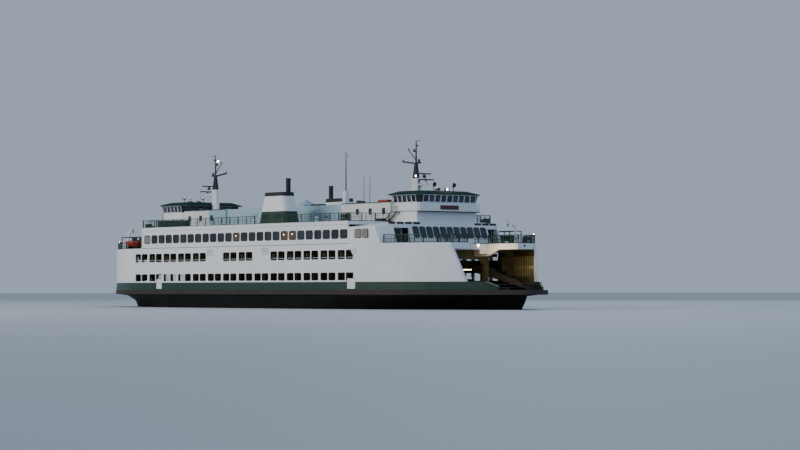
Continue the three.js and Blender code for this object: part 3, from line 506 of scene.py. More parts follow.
def stamp(bm, pattern, place):
    """Adds a copy of the pattern mesh at a place."""
    before = len(bm.verts)
    bm.from_mesh(pattern)
    bm.verts.ensure_lookup_table()
    bmesh.ops.transform(bm, matrix=place, verts=bm.verts[before:])


def stamp_side(bm, pattern, x, side, y, z):
    """Adds a copy on a wall that looks to port or to starboard, at y from the middle."""
    stamp(bm, pattern, wall_place((x, side * y, z), (0, side, 0)))


def pattern_mesh(name, bm):
    bmesh.ops.recalc_face_normals(bm, faces=bm.faces)
    mesh = bpy.data.meshes.new(name)
    bm.to_mesh(mesh)
    bm.free()
    return mesh


def rounded(bm, verts, corner):
    bmesh.ops.bevel(bm, geom=verts, affect="VERTICES", offset=corner, segments=3, profile=0.5, material=-1)


def plate(width, height, corner=0.0):
    """A drawing of a flat face in the local x and y plane, with rounded corners where asked."""
    bm = bmesh.new()
    verts = bmesh.ops.create_grid(bm, x_segments=1, y_segments=1, size=0.5)["verts"]
    bmesh.ops.scale(bm, verts=verts, vec=(width, height, 1))
    if corner:
        rounded(bm, verts, corner)
    return bm


def thickened(bm, depth):
    """Gives every flat face of the pattern a thickness along local z."""
    raised = bmesh.ops.extrude_face_region(bm, geom=bm.faces[:])["geom"]
    bmesh.ops.translate(bm, verts=[v for v in raised if isinstance(v, bmesh.types.BMVert)], vec=(0, 0, depth))


def rim_pattern(name, bm, margin, inner_corner, depth):
    """Leaves only a margin of the plate, with its inner corners rounded where asked."""
    inner = bm.faces[:][0]
    bmesh.ops.inset_region(bm, faces=[inner], use_boundary=True, thickness=margin, use_even_offset=True)
    if inner_corner:
        rounded(bm, inner.verts[:], inner_corner)
    middle = min(bm.faces, key=lambda f: f.calc_center_median().length)
    bmesh.ops.delete(bm, geom=[middle], context="FACES_ONLY")
    thickened(bm, depth)
    return pattern_mesh(name, bm)


# How far a rubber rim laps the wall at a window's sides and at its top and bottom
GASKET_LAP = (0.11, 0.05)
NARROW_LAP = (0.04, 0.04)
GASKET_DEPTH = 0.015


def gasket_pattern(name, width, height, corner, lap):
    """A window's rubber rim, rounded outside and inside."""
    bm = plate(width + 2 * lap[0], height + 2 * lap[1], corner)
    return rim_pattern(name, bm, max(lap) + 0.02, 0.0, GASKET_DEPTH)


def pane_pattern(name, width, height, corner=0.05, depth=0.02):
    bm = plate(width, height, corner)
    thickened(bm, depth)
    return pattern_mesh(name, bm)


# Side openings of the car deck: 14 pairs along the side, two of them closed in the upper row
PAIR_FIRST = -27.36
PAIR_PITCH = 3.885
PAIR_COUNT = 14
PANE_WIDTH = 1.58
MULLION = 0.22
LOWER_OPENING = (3.75, 4.77)
UPPER_OPENING = (6.49, 7.69)
CLOSED_UPPER_PAIRS = (5, 8)
FRAME_LAP = 0.06
FRAME_CORNER = 0.2
FRAME_DEPTH = 0.02
CORNER_PLATE = 0.62
CORNER_TURN = math.radians(10)
VENT_STRIPS = ((-8.2, -6.6), (5.5, 7.05))
VENT_FOOT = 7.3
VENT_PITCH = 0.16


def shell_openings():
    """The middle x and the (low, high) row of every opening in the starboard shell."""
    for index in range(PAIR_COUNT):
        for row in (LOWER_OPENING, UPPER_OPENING):
            if row is UPPER_OPENING and index in CLOSED_UPPER_PAIRS:
                continue
            for pane in (0, 1):
                start = PAIR_FIRST + index * PAIR_PITCH + pane * (PANE_WIDTH + MULLION)
                yield start + PANE_WIDTH / 2, row


def beside_door(x, side):
    """Whether a bulwark door swings past the lower opening at x, which then has no frame in its way."""
    doors = [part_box(name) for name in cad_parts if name.startswith("side_door")]
    return any(low[0] / S - PANE_WIDTH < x < high[0] / S + PANE_WIDTH and low[1] * side > 0
               for low, high in doors)


def add_opening_frames():
    """Rounded corners at every opening, a bar low in the upper row and a cut corner at its last pane."""
    frames, bars, strips = drawings(3)
    patterns = {}
    for row in (LOWER_OPENING, UPPER_OPENING):
        blank = plate(PANE_WIDTH + 2 * FRAME_LAP, row[1] - row[0] + 2 * FRAME_LAP)
        patterns[row] = rim_pattern("opening_frame", blank, FRAME_LAP, FRAME_CORNER, FRAME_DEPTH)
    for middle, row in shell_openings():
        for side in SIDES:
            x = middle * -side
            if row is UPPER_OPENING or not beside_door(x, side):
                stamp_side(frames, patterns[row], x, side, SHELL_SIDE, sum(row) / 2)
        if row is UPPER_OPENING:
            level_rod(bars, around(middle, PANE_WIDTH / 2), -SHELL_SIDE + 0.15, row[0] + 0.25, 0.03, 6)
    last = PAIR_FIRST + (PAIR_COUNT - 1) * PAIR_PITCH + 2 * PANE_WIDTH + MULLION
    top = UPPER_OPENING[1]
    corner = rod(frames, (last, -SHELL_SIDE - FRAME_DEPTH, top), (last, -SHELL_SIDE, top), CORNER_PLATE, 4)
    bmesh.ops.rotate(frames, verts=corner, cent=Vector((last, -SHELL_SIDE, top)) * S,
                     matrix=Matrix.Rotation(CORNER_TURN, 3, "Y"))
    for ends in VENT_STRIPS:
        for i in range(6):
            block(strips, ends, across(-1, *off(SHELL_SIDE, 0, 0.02)),
                  off(VENT_FOOT + i * VENT_PITCH, 0, 0.1))
    piece("opening_frames", frames, WHITE)
    twins("opening_rails", bars, WHITE)
    twins("shell_vent_slats", strips, VENT_GREY)


# Cabin windows: 26 along each side
WINDOW_FIRST = -24.76
WINDOW_PITCH = 1.94
WINDOW_COUNT = 26
WINDOW_WIDTH = 1.44
CABIN_WINDOW = (9.2, 10.33)
LIT_WINDOWS = (12, 18, 19)
SEAM_BEFORE = (0, 3, 6, 9, 13, 17, 20, 23, 26)
END_WINDOWS = (26.75, 28.15)
END_WINDOW_WIDTH = 1.25


def add_cabin_windows():
    frames, panes, lit, pale, seams, lamps = drawings(6)
    low, high = CABIN_WINDOW
    # x of the middle, width, side and what shows behind the glass
    windows = []
    for i in range(WINDOW_COUNT):
        x = WINDOW_FIRST + i * WINDOW_PITCH + WINDOW_WIDTH / 2
        glass = lit if i in LIT_WINDOWS else pale if i == 0 else panes
        windows += [(x, WINDOW_WIDTH, -1, glass), (x, WINDOW_WIDTH, 1, panes)]
    for x in END_WINDOWS:
        windows += [(-side * (x + END_WINDOW_WIDTH / 2), END_WINDOW_WIDTH, side, pale) for side in SIDES]
    patterns = {}
    for width, corner, lap in ((WINDOW_WIDTH, 0.28, GASKET_LAP), (END_WINDOW_WIDTH, 0.12, NARROW_LAP)):
        patterns[width] = (gasket_pattern("cabin_gasket", width, high - low, corner, lap),
                           pane_pattern("cabin_pane", width - 0.02, high - low - 0.02))
    for x, width, side, glass in windows:
        gasket, pane = patterns[width]
        wall = SHELL_SIDE if abs(x) < PARALLEL else half_breadth(x, HALF_BEAM - SHELL_SIDE)
        stamp_side(frames, gasket, x, side, wall, (low + high) / 2)
        stamp_side(glass, pane, x, side, wall - 0.03, (low + high) / 2)
        if glass is lit:
            ball(lamps, (x - 0.15, side * wall, high - 0.4), 0.06)
    for index in SEAM_BEFORE:
        x = WINDOW_FIRST + index * WINDOW_PITCH - (WINDOW_PITCH - WINDOW_WIDTH) / 2
        both_sides(seams, around(x, 0.015), off(SHELL_SIDE, -0.015, 0.005), (DECK_TOP, SUN_UNDER - 0.02))
    piece("cabin_window_gaskets", frames, RUBBER)
    piece("cabin_window_panes", panes, DARK_GLASS)
    piece("cabin_window_panes_lit", lit, LIT_GLASS)
    piece("cabin_window_panes_curtained", pale, CURTAINED)
    piece("cabin_window_lamps", lamps, WARM_LAMP)
    piece("cabin_wall_seams", seams, SEAM)


# End houses: a raked window front between two recessed doors
CABIN_END = 25.4
FRONT_FOOT = 32.2
END_ROOF = 11.35
FRONT_RAKE = 1.05
RAKE_SLOPE = FRONT_RAKE / (END_ROOF - DECK_TOP)
FRONT_WINDOW = (9.28, 10.68)
FRONT_WINDOW_PITCH = 1.12
FRONT_WINDOW_WIDTH = 0.94
FRONT_WINDOW_COUNT = 11
# Air slots over the doors, black plates whose dark is painted shade in the openings, four on the near side and
# three on the side of the boat
AIR_SLOTS = (-9.2, -7.86, -6.52, -5.18, 4.95, 6.2, 7.45)
AIR_SLOT_LEVEL = 11.12
# The pale rails on the house roof
ROOF_RAILS = (((25.6, -11.7), (27.3, -11.66), (28.9, -11.52), (30.3, -11.3)),
              ((25.8, 7.9), (27.4, 7.9), (29.0, 7.9)))
RECESS_BACK = 30.7
RECESS_TOP = 10.5
# y of a recess's outer and inner edge, and of the dark plates' edges beside the door leaf
DOOR_RECESSES = ((-9.1, -6.7, -8.56, -7.24), (7.95, 6.35, 7.76, 6.54))
# x, y, floor and height of the boxes on the house roof and the sun deck
ROOF_BOXES = (((29.5, 30.2), (7.2, 7.8), END_ROOF, 0.6), ((23.4, 24.8), (-5.95, -5.3), SUN_DECK, 0.45),
              ((-25.15, -24.4), (-11.6, -10.9), SUN_DECK, 0.6), ((23.4, 25.2), (-11.7, -11.2), SUN_DECK, 1.0))


def add_deck_edges():
    """The dark seam at the passenger deck and the drip moulding at the sun deck."""
    seam, mould = drawings(2)
    both_sides(seam, around(0, CABIN_END), off(SHELL_SIDE, 0, 0.012), around(DECK_TOP, 0.03))
    both_sides(mould, around(0, CABIN_END), off(HALF_BEAM, -0.02, 0), off(SUN_DECK, -0.06, 0.02))
    piece("passenger_deck_seam", seam, SEAM)
    piece("sun_deck_moulding", mould, WHITE, bevel=0.005)


def front_x(z):
    return FRONT_FOOT - (z - DECK_TOP) * RAKE_SLOPE


def add_end_fronts():
    frames, panes, slots, rails, gear, lining = drawings(6)
    low, high = FRONT_WINDOW
    up = Vector((-RAKE_SLOPE, 0, 1)).normalized()
    out = Vector((1, 0, RAKE_SLOPE)).normalized()
    tall = (high - low) / up.z
    gasket = gasket_pattern("front_gasket", FRONT_WINDOW_WIDTH, tall, 0.26, NARROW_LAP)
    pane = pane_pattern("front_pane", FRONT_WINDOW_WIDTH, tall, 0.22, 0.008)
    middle_z = (low + high) / 2
    for index in range(FRONT_WINDOW_COUNT):
        y = (index - (FRONT_WINDOW_COUNT - 1) / 2) * FRONT_WINDOW_PITCH
        on_wall = wall_place((front_x(middle_z), y, middle_z), out, up)
        stamp(frames, gasket, on_wall)
        stamp(panes, pane, on_wall)
    slot = pane_pattern("air_slot", 1.1, 0.3)
    for y in AIR_SLOTS:
        stamp(slots, slot, wall_place((front_x(AIR_SLOT_LEVEL), y, AIR_SLOT_LEVEL), out, up))
    for line in ROOF_RAILS:
        for start, end in zip(line, line[1:]):
            for level in (0.55, 1.02):
                rod(rails, (*start, END_ROOF + level), (*end, END_ROOF + level), 0.025, 6)
        for spot in line:
            post(rails, *spot, END_ROOF, END_ROOF + 1.02, 0.035, 6)
    # Dark plates on the back and the inner side of each door recess: painted shade in the recess.
    for outer, inner, leaf_outer, leaf_inner in DOOR_RECESSES:
        height = (DECK_TOP + 0.01, RECESS_TOP)
        for edge, leaf in ((outer, leaf_outer), (inner, leaf_inner)):
            block(lining, (RECESS_BACK, RECESS_BACK + 0.02), sorted((edge, leaf)), height)
        block(lining, (RECESS_BACK, front_x(RECESS_TOP) - 0.05),
              sorted((inner, inner + math.copysign(0.02, inner))), height)
    for x, y, floor, height in ROOF_BOXES:
        block(gear, x, y, (floor, floor + height))
    twins("door_recess_shade_plates", lining, CONSOLE)
    twins("end_house_window_gaskets", frames, RUBBER)
    twins("end_house_window_panes", panes, FRONT_GLASS)
    twins("end_house_air_slots", slots, BLACK)
    twins("end_house_roof_rails", rails, GREY)
    twins("roof_boxes", gear, RAIL_GREEN, bevel=0.03)


# Pilothouse windows
SILL = 13.85
EAVES = 14.9
WINDOW_FOOT = SILL + 0.05
WINDOW_HEAD = 14.84
BRIDGE_LEAN = 0.22 / (EAVES - SILL)
BRIDGE_FRONT = 31.4
BRIDGE_SIDE = 4.85
BRIDGE_REAR = 25.4
BRIDGE_FRONT_PITCH = 0.97
BRIDGE_SIDE_FIRST = 26.38
BRIDGE_SIDE_PITCH = 0.98
BRIDGE_REAR_WINDOWS = (-3.2, -1.9, 1.9, 3.2)
PANE_SET_BACK = 0.06


def add_pilothouse_windows():
    frames, panes = drawings(2)
    middle_z = (WINDOW_FOOT + WINDOW_HEAD) / 2
    shift = (middle_z - SILL) * BRIDGE_LEAN
    tall = (WINDOW_HEAD - WINDOW_FOOT) / Vector((BRIDGE_LEAN, 0, 1)).normalized().z
    rim = rim_pattern("bridge_frame", plate(0.93, tall + 0.06), 0.07, 0.05, 0.02)
    pane = pane_pattern("bridge_pane", 0.83, tall - 0.02)
    rear = pane_pattern("bridge_rear_pane", 0.79, WINDOW_HEAD - WINDOW_FOOT - 0.02)
    # the middle of each window and the way it looks
    windows = [((BRIDGE_FRONT + shift, i * BRIDGE_FRONT_PITCH, middle_z), (1, 0)) for i in range(-4, 5)]
    windows += [((BRIDGE_SIDE_FIRST + i * BRIDGE_SIDE_PITCH, side * (BRIDGE_SIDE + shift), middle_z),
                 (0, side)) for i in range(5) for side in SIDES]
    for spot, (x, y) in windows:
        out = Vector((x, y, -BRIDGE_LEAN)).normalized()
        up = Vector((x * BRIDGE_LEAN, y * BRIDGE_LEAN, 1)).normalized()
        stamp(frames, rim, wall_place(spot, out, up))
        stamp(panes, pane, wall_place(Vector(spot) - out * PANE_SET_BACK, out, up))
    for y in BRIDGE_REAR_WINDOWS:
        stamp(panes, rear, wall_place((BRIDGE_REAR, y, middle_z), (-1, 0, 0)))
    twins("pilothouse_window_frames", frames, WHITE)
    twins("pilothouse_window_panes", panes, GLASS)


add_opening_frames()
add_cabin_windows()
add_deck_edges()
add_end_fronts()
add_pilothouse_windows()


# Railings: thin bars and balusters inside the solid frames

SUN_RAIL = [(-25.3, -5.2), (-25.3, -11.82), (3.65, -11.82), (10.65, -11.82), (25.3, -11.82), (25.3, -5.2)]
FUNNEL_GAP = 2
FORK_RAIL = [(31.75, -10.85), (35, -9.75), (37.3, -8.8), (40.5, -6.85), (40.5, -4.2), (34.4, -4.2),
             (34.4, 4.2), (40.5, 4.2), (40.5, 6.85), (37.3, 8.8), (35.5, 9.6)]
MESH_RAIL = [(35.4, 9.65), (33.9, 10.3)]
BALUSTER = 1.05


def rail_filling(bm, start, end, floor, bar_levels, bar_radius, pitch, post_radius):
    """Level bars and upright balusters along one straight run."""
    a, b = Vector((*start, floor)), Vector((*end, floor))
    for level in bar_levels:
        rod(bm, a + Vector((0, 0, level)), b + Vector((0, 0, level)), bar_radius, 6)
    count = max(1, round((b - a).length / pitch))
    for i in range(1, count):
        foot = a.lerp(b, i / count)
        post(bm, foot.x, foot.y, floor, floor + BALUSTER, post_radius, 6)


def add_rails():
    sun, fork = drawings(2)
    for i, (start, end) in enumerate(zip(SUN_RAIL, SUN_RAIL[1:])):
        if i != FUNNEL_GAP:
            rail_filling(sun, start, end, SUN_DECK, (0.34, 0.56, 0.78), 0.02, 1.0, 0.025)
    for start, end in zip(FORK_RAIL, FORK_RAIL[1:]):
        rail_filling(fork, start, end, DECK_TOP, (0.55,), 0.025, 0.24, 0.028)
    rail_filling(fork, *MESH_RAIL, DECK_TOP, (0.08, 0.4, 0.75, 1.05), 0.03, 0.12, 0.025)
    panel(fork, *MESH_RAIL, DECK_TOP + 0.05, DECK_TOP + 0.8, 0.02)
    twins("sun_rail_bars", sun, RAIL_GREEN)
    twins("fork_rail_bars", fork, RAIL_GREEN)


# Things on the sun deck: lifebuoys, lockers and vents

LIFEBUOYS = (20.4, 24.4)
BUOY_Y = -11.9
BUOY_LEVEL = SUN_DECK + 0.6
BUOY_RADIUS = 0.3
LOCKERS = ((-22.2, -19.8, -10.3, 0.95), (-19.7, -17.2, -10.3, 0.95), (-17.1, -14.8, -10.4, 0.9))
LOCKER_BACK = -11.2
VENT_TRUNKS = ((10.9, -6.6), (-2.5, -7.6), (1.6, -7.2))


def add_lifebuoys():
    shade_dark_rings, bands = drawings(2)
    upright = Matrix.Rotation(math.pi / 2, 4, "X")
    profile = bmesh.new()
    bmesh.ops.create_circle(profile, segments=10, radius=0.08 * S,
                            matrix=Matrix.Translation((BUOY_RADIUS * S, 0, 0)) @ upright)
    bmesh.ops.spin(profile, geom=profile.verts[:] + profile.edges[:], cent=(0, 0, 0), axis=(0, 0, 1),
                   angle=math.tau, steps=24, use_merge=True)
    ring = pattern_mesh("lifebuoy", profile)
    for x in LIFEBUOYS:
        stamp(shade_dark_rings, ring, Matrix.Translation(Vector((x, BUOY_Y, BUOY_LEVEL)) * S) @ upright)
        for i in range(4):
            angle = math.pi / 4 + i * math.pi / 2
            aside, rise = BUOY_RADIUS * math.cos(angle), BUOY_RADIUS * math.sin(angle)
            ball(bands, (x + aside, BUOY_Y, BUOY_LEVEL + rise), 0.092, detail=8)
    # The rings take the dark gasket rubber all round: painted shade for rings in shadow, whose own colour is
    # bright.
    twins("lifebuoys", shade_dark_rings, RUBBER, slot="black_paint")
    twins("lifebuoy_bands", bands, BUOY_WHITE)


def add_sun_deck_gear():
    """Dark green lockers against the far end of the deck, and round vent trunks."""
    lockers, trunks, stands = drawings(3)
    for x0, x1, front, height in LOCKERS:
        # the box, its lid and its stand: how far each is inside the box's plan, and its levels
        for bm, inset, low, high in ((lockers, 0, 0.08, height), (lockers, -0.04, height, height + 0.06),
                                     (stands, 0.1, 0, 0.08)):
            block(bm, (x0 + inset, x1 - inset), (LOCKER_BACK + inset, front - inset),
                  off(SUN_DECK, low, high))
    for x, y in VENT_TRUNKS:
        post(trunks, x, y, SUN_DECK, SUN_DECK + 0.75, 0.22, 12)
        post(trunks, x, y, SUN_DECK + 0.75, SUN_DECK + 0.95, 0.4, 14, 0.2)
    twins("deck_lockers", lockers, GREEN, bevel=0.02)
    twins("deck_vent_trunks", trunks, WHITE, bevel=0.02)
    twins("deck_gear_stands", stands, BLACK)


# Crew houses and the middle casing

CREW_SIDE = 4.9
CREW_WINDOWS = (17.87, 20.75, 23.72)
CREW_WINDOW_SIZE = (0.5, 0.72)
CREW_WINDOW_LEVEL = 12.88
CASING_TOP = 14
CASING_SIDE = 4.6
CASING_LOUVRES = (-3.4, 7.2)
STAIR_ENDS = (24.9, 26.6)
STAIR_SIDES = (-5.8, -5.0)


def add_crew_house_fittings():
    frames, panes, gear, covers, shadow_strips_and_box, louvres, skylight, stairs = drawings(8)
    gasket = gasket_pattern("crew_gasket", *CREW_WINDOW_SIZE, 0.12, GASKET_LAP)
    pane = pane_pattern("crew_pane", *CREW_WINDOW_SIZE)
    for side in SIDES:
        for x in CREW_WINDOWS:
            stamp_side(frames, gasket, x, side, CREW_SIDE, CREW_WINDOW_LEVEL)
            stamp_side(panes, pane, x, side, CREW_SIDE - 0.01, CREW_WINDOW_LEVEL)
    # Dark strips along the house sides below the roof edge and the walkway, and under the walkway's front edge:
    # painted shadow lines under the overhangs.
    both_sides(shadow_strips_and_box, (14.2, 25.2), off(CREW_SIDE, 0, 0.06), off(CREW_ROOF, -0.1, 0))
    both_sides(shadow_strips_and_box, (25.25, 30.98), off(CREW_SIDE, 0, 0.05), (12.7, 12.76))
    block(shadow_strips_and_box, (30.98, 31.7), around(0, 5), (12.64, 12.74))
    # the stairs from the sun deck up to the pilothouse's side
    for i in range(6):
        x, z = 25.0 + i * 0.27, SUN_DECK + 0.15 + i * 0.2
        block(stairs, (x, x + 0.3), (-5.75, -5.0), (z, z + 0.05))
    for y in STAIR_SIDES:
        for low, high, radius in ((0, 1.25, 0.06), (0.9, 2.1, 0.03)):
            rod(stairs, (STAIR_ENDS[0], y, SUN_DECK + low), (STAIR_ENDS[1], y, SUN_DECK + high), radius, 6)
        post(stairs, STAIR_ENDS[1], y, *off(SUN_DECK, 1.25, 2.1), 0.03, 6)
    block(stairs, (26.5, 27.3), (-5.8, -4.95), off(SUN_DECK, 1.2, 1.26))
    block(covers, (21.95, 24.15), (-4.6, -3.8), off(CREW_ROOF, 0, 0.3))
    for x0, x1, tall in ((17.05, 17.6, 0.35), (17.75, 18.4, 0.25)):
        block(gear, (x0, x1), (-4.5, -3.9), off(CREW_ROOF, 0, tall))
    for x in CASING_LOUVRES:
        for i in range(7):
            both_sides(louvres, around(x, 0.8), off(CASING_SIDE, 0, 0.05), off(12.5 + i * 0.13, 0, 0.07))
    block(skylight, (-1.9, 0.1), around(0, 1.2), off(CASING_TOP, 0, 0.35))
    peak = Matrix.Translation(Vector((-0.9, 0, CASING_TOP + 0.75)) * S) @ Matrix.Rotation(math.pi / 4, 4, "Z")
    bmesh.ops.create_cone(skylight, cap_ends=False, segments=4, radius1=1.5 * S, radius2=0.02 * S,
                          depth=0.8 * S, matrix=peak)
    block(shadow_strips_and_box, (4.9, 6.9), (-3.4, -2.2), off(CASING_TOP, 0, 0.3))
    twins("crew_house_window_gaskets", frames, RUBBER)
    twins("crew_house_window_panes", panes, DARK_GLASS)
    twins("crew_roof_gear", gear, RAIL_GREEN, bevel=0.02)
    twins("roof_covers", covers, ORANGE, bevel=0.08)
    twins("house_shadow_strips_and_roof_box", shadow_strips_and_box, SEAM)
    twins("bridge_stairs", stairs, SEAM)
    twins("casing_louvres", louvres, PALE_BLUE)
    piece("casing_skylight", skylight, PALE_BLUE)


# Pilothouses: bare nameboards, lamps, searchlights, horns, aerials, and the room inside

BRIDGE_FLOOR = 12.9
SEARCHLIGHT_X = 30.3
# y and height of the stand of each searchlight
SEARCHLIGHTS = ((-1.65, 0.55), (1.6, 0.5))
LADDER_SIDES = (25.75, 26.15)
LADDER_Y = -5.05


def add_pilothouse_fittings():
    boards, wing, white, black, cool, room, chairs = drawings(7)
    # the walkway's bulwark under the front windows, with the bare nameboard on it
    block(wing, (31.62, 31.68), around(0, 4.95), (12.74, 13.8))
    block(boards, (31.68, 31.76), (-1.65, 1.35), (12.95, 13.5))
    for y, tall in SEARCHLIGHTS:
        x, head = SEARCHLIGHT_X, ROOF_TOP + tall
        post(black, x, y, ROOF_TOP - 0.1, head, 0.05)
        block(black, around(x, 0.05), around(y, 0.26), (head, head + 0.06))
        level_rod(white, off(x, -0.28, 0.12), y, head + 0.3, 0.14, 16, 0.27)
        level_rod(black, off(x, 0.1, 0.24), y, head + 0.3, 0.28, 16)
    ball(cool, (30.4, 0.5, ROOF_TOP + 0.22), 0.13)
    # two horns on their stands
    for y in (-0.55, 0.95):
        rod(black, (29.2, y, ROOF_TOP + 0.18), (30.1, y, ROOF_TOP + 0.24), 0.07, 10, 0.19)
        post(black, 29.3, y, *off(ROOF_TOP, -0.1, 0.2), 0.04)
    # a satellite dome and two whip aerials
    post(white, 27.6, 2.4, *off(ROOF_TOP, -0.05, 0.45), 0.05)
    ball(white, (27.6, 2.4, ROOF_TOP + 0.6), 0.26, 0.8, 14)
    for x, y, tall in ((28.4, -2.8, 1.9), (26.7, 3.1, 1.6)):
        post(white, x, y, *off(ROOF_TOP, -0.05, tall), 0.03, 6, 0.012)
    # the room: a console under the front windows, chairs behind it and a chart table
    for x, y, z in (((29.9, 30.9), (-3.6, 3.6), (12.95, 13.85)), ((29.7, 30.0), (-3.4, 3.4), (13.6, 13.95)),
                    ((26.4, 27.6), (-3.9, -2.2), (12.95, 13.8))):
        block(room, x, y, z)
    for y in (-1.3, 1.3):
        post(chairs, 29.0, y, BRIDGE_FLOOR, BRIDGE_FLOOR + 0.5, 0.08, 10)
        block(chairs, (28.72, 29.28), around(y, 0.28), (13.4, 13.52))
        block(chairs, (28.66, 28.76), around(y, 0.26), (13.5, 14.25))
    # the ladder at the rear of the near side, from the house roof to the walkway
    for x in LADDER_SIDES:
        post(white, x, LADDER_Y, 12.75, 14.7, 0.025, 6)
    for i in range(7):
        level_rod(white, LADDER_SIDES, LADDER_Y, 12.95 + i * 0.26, 0.018, 6)
    twins("bridge_walkway_bulwark", wing, WHITE, bevel=0.015)
    twins("nameboard_blanks", boards, BOARD_RED, bevel=0.015)
    twins("pilothouse_fittings_white", white, WHITE)
    twins("pilothouse_fittings_black", black, BLACK)
    twins("pilothouse_roof_lamps", cool, WHITE_LAMP)
    twins("pilothouse_console", room, CONSOLE, bevel=0.02)
    twins("pilothouse_chairs", chairs, CONSOLE, bevel=0.02)


# Masts: lamps, ladders, stays and braces

MAST_X = 24.35
# x from the mast, height and radius of each lamp housing
MAST_LAMPS = ((-0.42, 20.95, 0.13), (0.62, 19.55, 0.15), (0.3, 21.6, 0.09), (-1.6, 21.2, 0.08),
              (-2.85, 19.75, 0.08))
MAST_LADDER_X = MAST_X - 0.66
LIT_LAMP = (-23.72, 0, 21.44)
STAY_TOP = 20.6
STAY_RADIUS = 0.005
# height and reach of the braces under the radar platforms, the upper one short of the lower scanner
RADAR_BRACES = ((16.47, 26.1), (17.27, 25.15))


def add_mast_fittings():
    black, cool, stays, white = drawings(4)
    for dx, z, size in MAST_LAMPS:
        post(black, MAST_X + dx, 0, z - size * 1.3, z + size * 1.3, size, 10)
        ball(black, (MAST_X + dx, 0, z + size * 1.3), size * 0.9, 0.6)
    block(black, (MAST_X - 0.45, MAST_X - 0.05), around(0, 0.03), (20.85, 20.92))
    block(black, (MAST_X, MAST_X + 0.65), around(0, 0.03), (19.32, 19.4))
    ball(cool, (MAST_X + 0.34, -0.32, 17.6), 0.1)
    for z in (15.0, 15.5, 16.0, 16.5):
        rod(white, (MAST_LADDER_X, -0.22, z), (MAST_LADDER_X, 0.22, z), 0.02, 6)
    for y in (-0.22, 0.22):
        post(white, MAST_LADDER_X, y, 14.3, 17.0, 0.02, 6)
    for x, z in ((MAST_X - 2.8, 19.6), (MAST_X + 0.9, 19.35)):
        rod(stays, (x, 0, z), (x, 0.9, CREW_ROOF), STAY_RADIUS, 4)
    for y in (-4.6, 4.6):
        for foot in ((14.4, y, CREW_ROOF), (30.2, y * 0.78, ROOF_TOP - 0.1)):
            rod(stays, (MAST_X, 0, STAY_TOP), foot, STAY_RADIUS, 4)
    for z, reach in RADAR_BRACES:
        rod(black, (MAST_X + 0.6, 0, z - 0.55), (reach, 0, z), 0.05, 6)
    for bm in (black, cool, stays, white):
        half_turn(bm)
    # one lit lamp, only on the mast at end 2
    ball(cool, LIT_LAMP, 0.13)
    piece("mast_lamps_and_brackets", black, BLACK)
    piece("mast_light", cool, WHITE_LAMP)
    piece("mast_stays", stays, WIRE)
    piece("mast_ladders", white, WHITE)


POLE_X = 8.5
POLE_FOOT = 16.1
YARD_LEVEL = 20.9
WHIPS = ((18.1, -4.0), (19.45, -4.0))


def add_centre_pole():
    pole, foot, whips = drawings(3)
    block(foot, around(POLE_X, 0.35), around(0, 0.35), (CASING_TOP, POLE_FOOT))
    post(pole, POLE_X, 0, POLE_FOOT, 21.4, 0.09, 10, 0.05)
    level_rod(pole, off(POLE_X, 0, 0.7), 0, YARD_LEVEL, 0.03, 6)
    for x, y in WHIPS:
        post(whips, x, y, *off(CREW_ROOF, 0, 0.3), 0.05)
        post(whips, x, y, *off(CREW_ROOF, 0.3, 3.6), 0.045, 6, 0.03)
    piece("centre_pole", pole, BLACK)
    piece("centre_pole_post", foot, WHITE, bevel=0.03)
    piece("whip_aerials", whips, BLACK)


# Funnels

FUNNEL_X, FUNNEL_Y = 7.15, -10.15
PIPE_X = FUNNEL_X + 1.75


def add_funnel_fittings():
    """Louvres and a door on each funnel, and collars on its exhaust pipe."""
    collars, doors = drawings(2)
    for i in range(6):
        for middle in (FUNNEL_X + 1.5, FUNNEL_X - 1.5):
            block(doors, around(middle, 0.9), off(FUNNEL_Y, -1.35, -1.3), off(11.95 + i * 0.14, 0, 0.08))
    block(doors, around(FUNNEL_X, 0.4), off(FUNNEL_Y, 1.28, 1.38), off(SUN_DECK, 0.1, 1.9))
    for low, high in ((16.2, 16.28), (17.45, 17.58)):
        post(collars, PIPE_X, FUNNEL_Y + 0.25, low, high, 0.36, 16)
    twins("funnel_louvres_and_pipes", collars, BLACK)
    twins("funnel_doors", doors, GREEN, bevel=0.01)


add_rails()
add_lifebuoys()
add_sun_deck_gear()
add_crew_house_fittings()
add_pilothouse_fittings()
add_mast_fittings()
add_centre_pole()
add_funnel_fittings()


# Rescue boats: the solid hulls stay, with a tube round each gunwale.
# The boat at end 1 lies under a cover and is dark green all over, its hull and tube too; the open one at end 2
# shows seats, a console and an outboard.

BOAT_X, BOAT_Y = 31.6, 9.6
TUBE_RADIUS = 0.17
TUBE_LEVEL = BOAT_RIM - 0.12
GUNWALE = [(-1.95, 0.62), (-0.6, 0.71), (0.5, 0.7), (1.25, 0.56), (1.75, 0.3), (1.93, 0.0)]
# x range, half breadth and z range of what lies in the open boat, from its middle and its rim
BOAT_INSIDE = (((-0.5, 0.1), 0.3, (0, 0.5)), ((-1.35, -0.85), 0.5, (0, 0.2)),
               ((-2.1, -1.8), 0.22, (-0.2, 0.5)), ((0.6, 0.9), 0.5, (0, 0.1)))
BOAT_STRAPS = (-1.2, -0.2, 0.8)


def boat_tube():
    tube = bmesh.new()
    line = [(BOAT_X + x, BOAT_Y + y, TUBE_LEVEL) for x, y in GUNWALE]
    line += [(BOAT_X + x, BOAT_Y - y, TUBE_LEVEL) for x, y in reversed(GUNWALE[:-1])]
    for start, end in zip(line, line[1:]):
        rod(tube, start, end, TUBE_RADIUS, 12)
        ball(tube, end, TUBE_RADIUS, detail=12)
    ball(tube, line[0], TUBE_RADIUS, detail=12)
    return tube


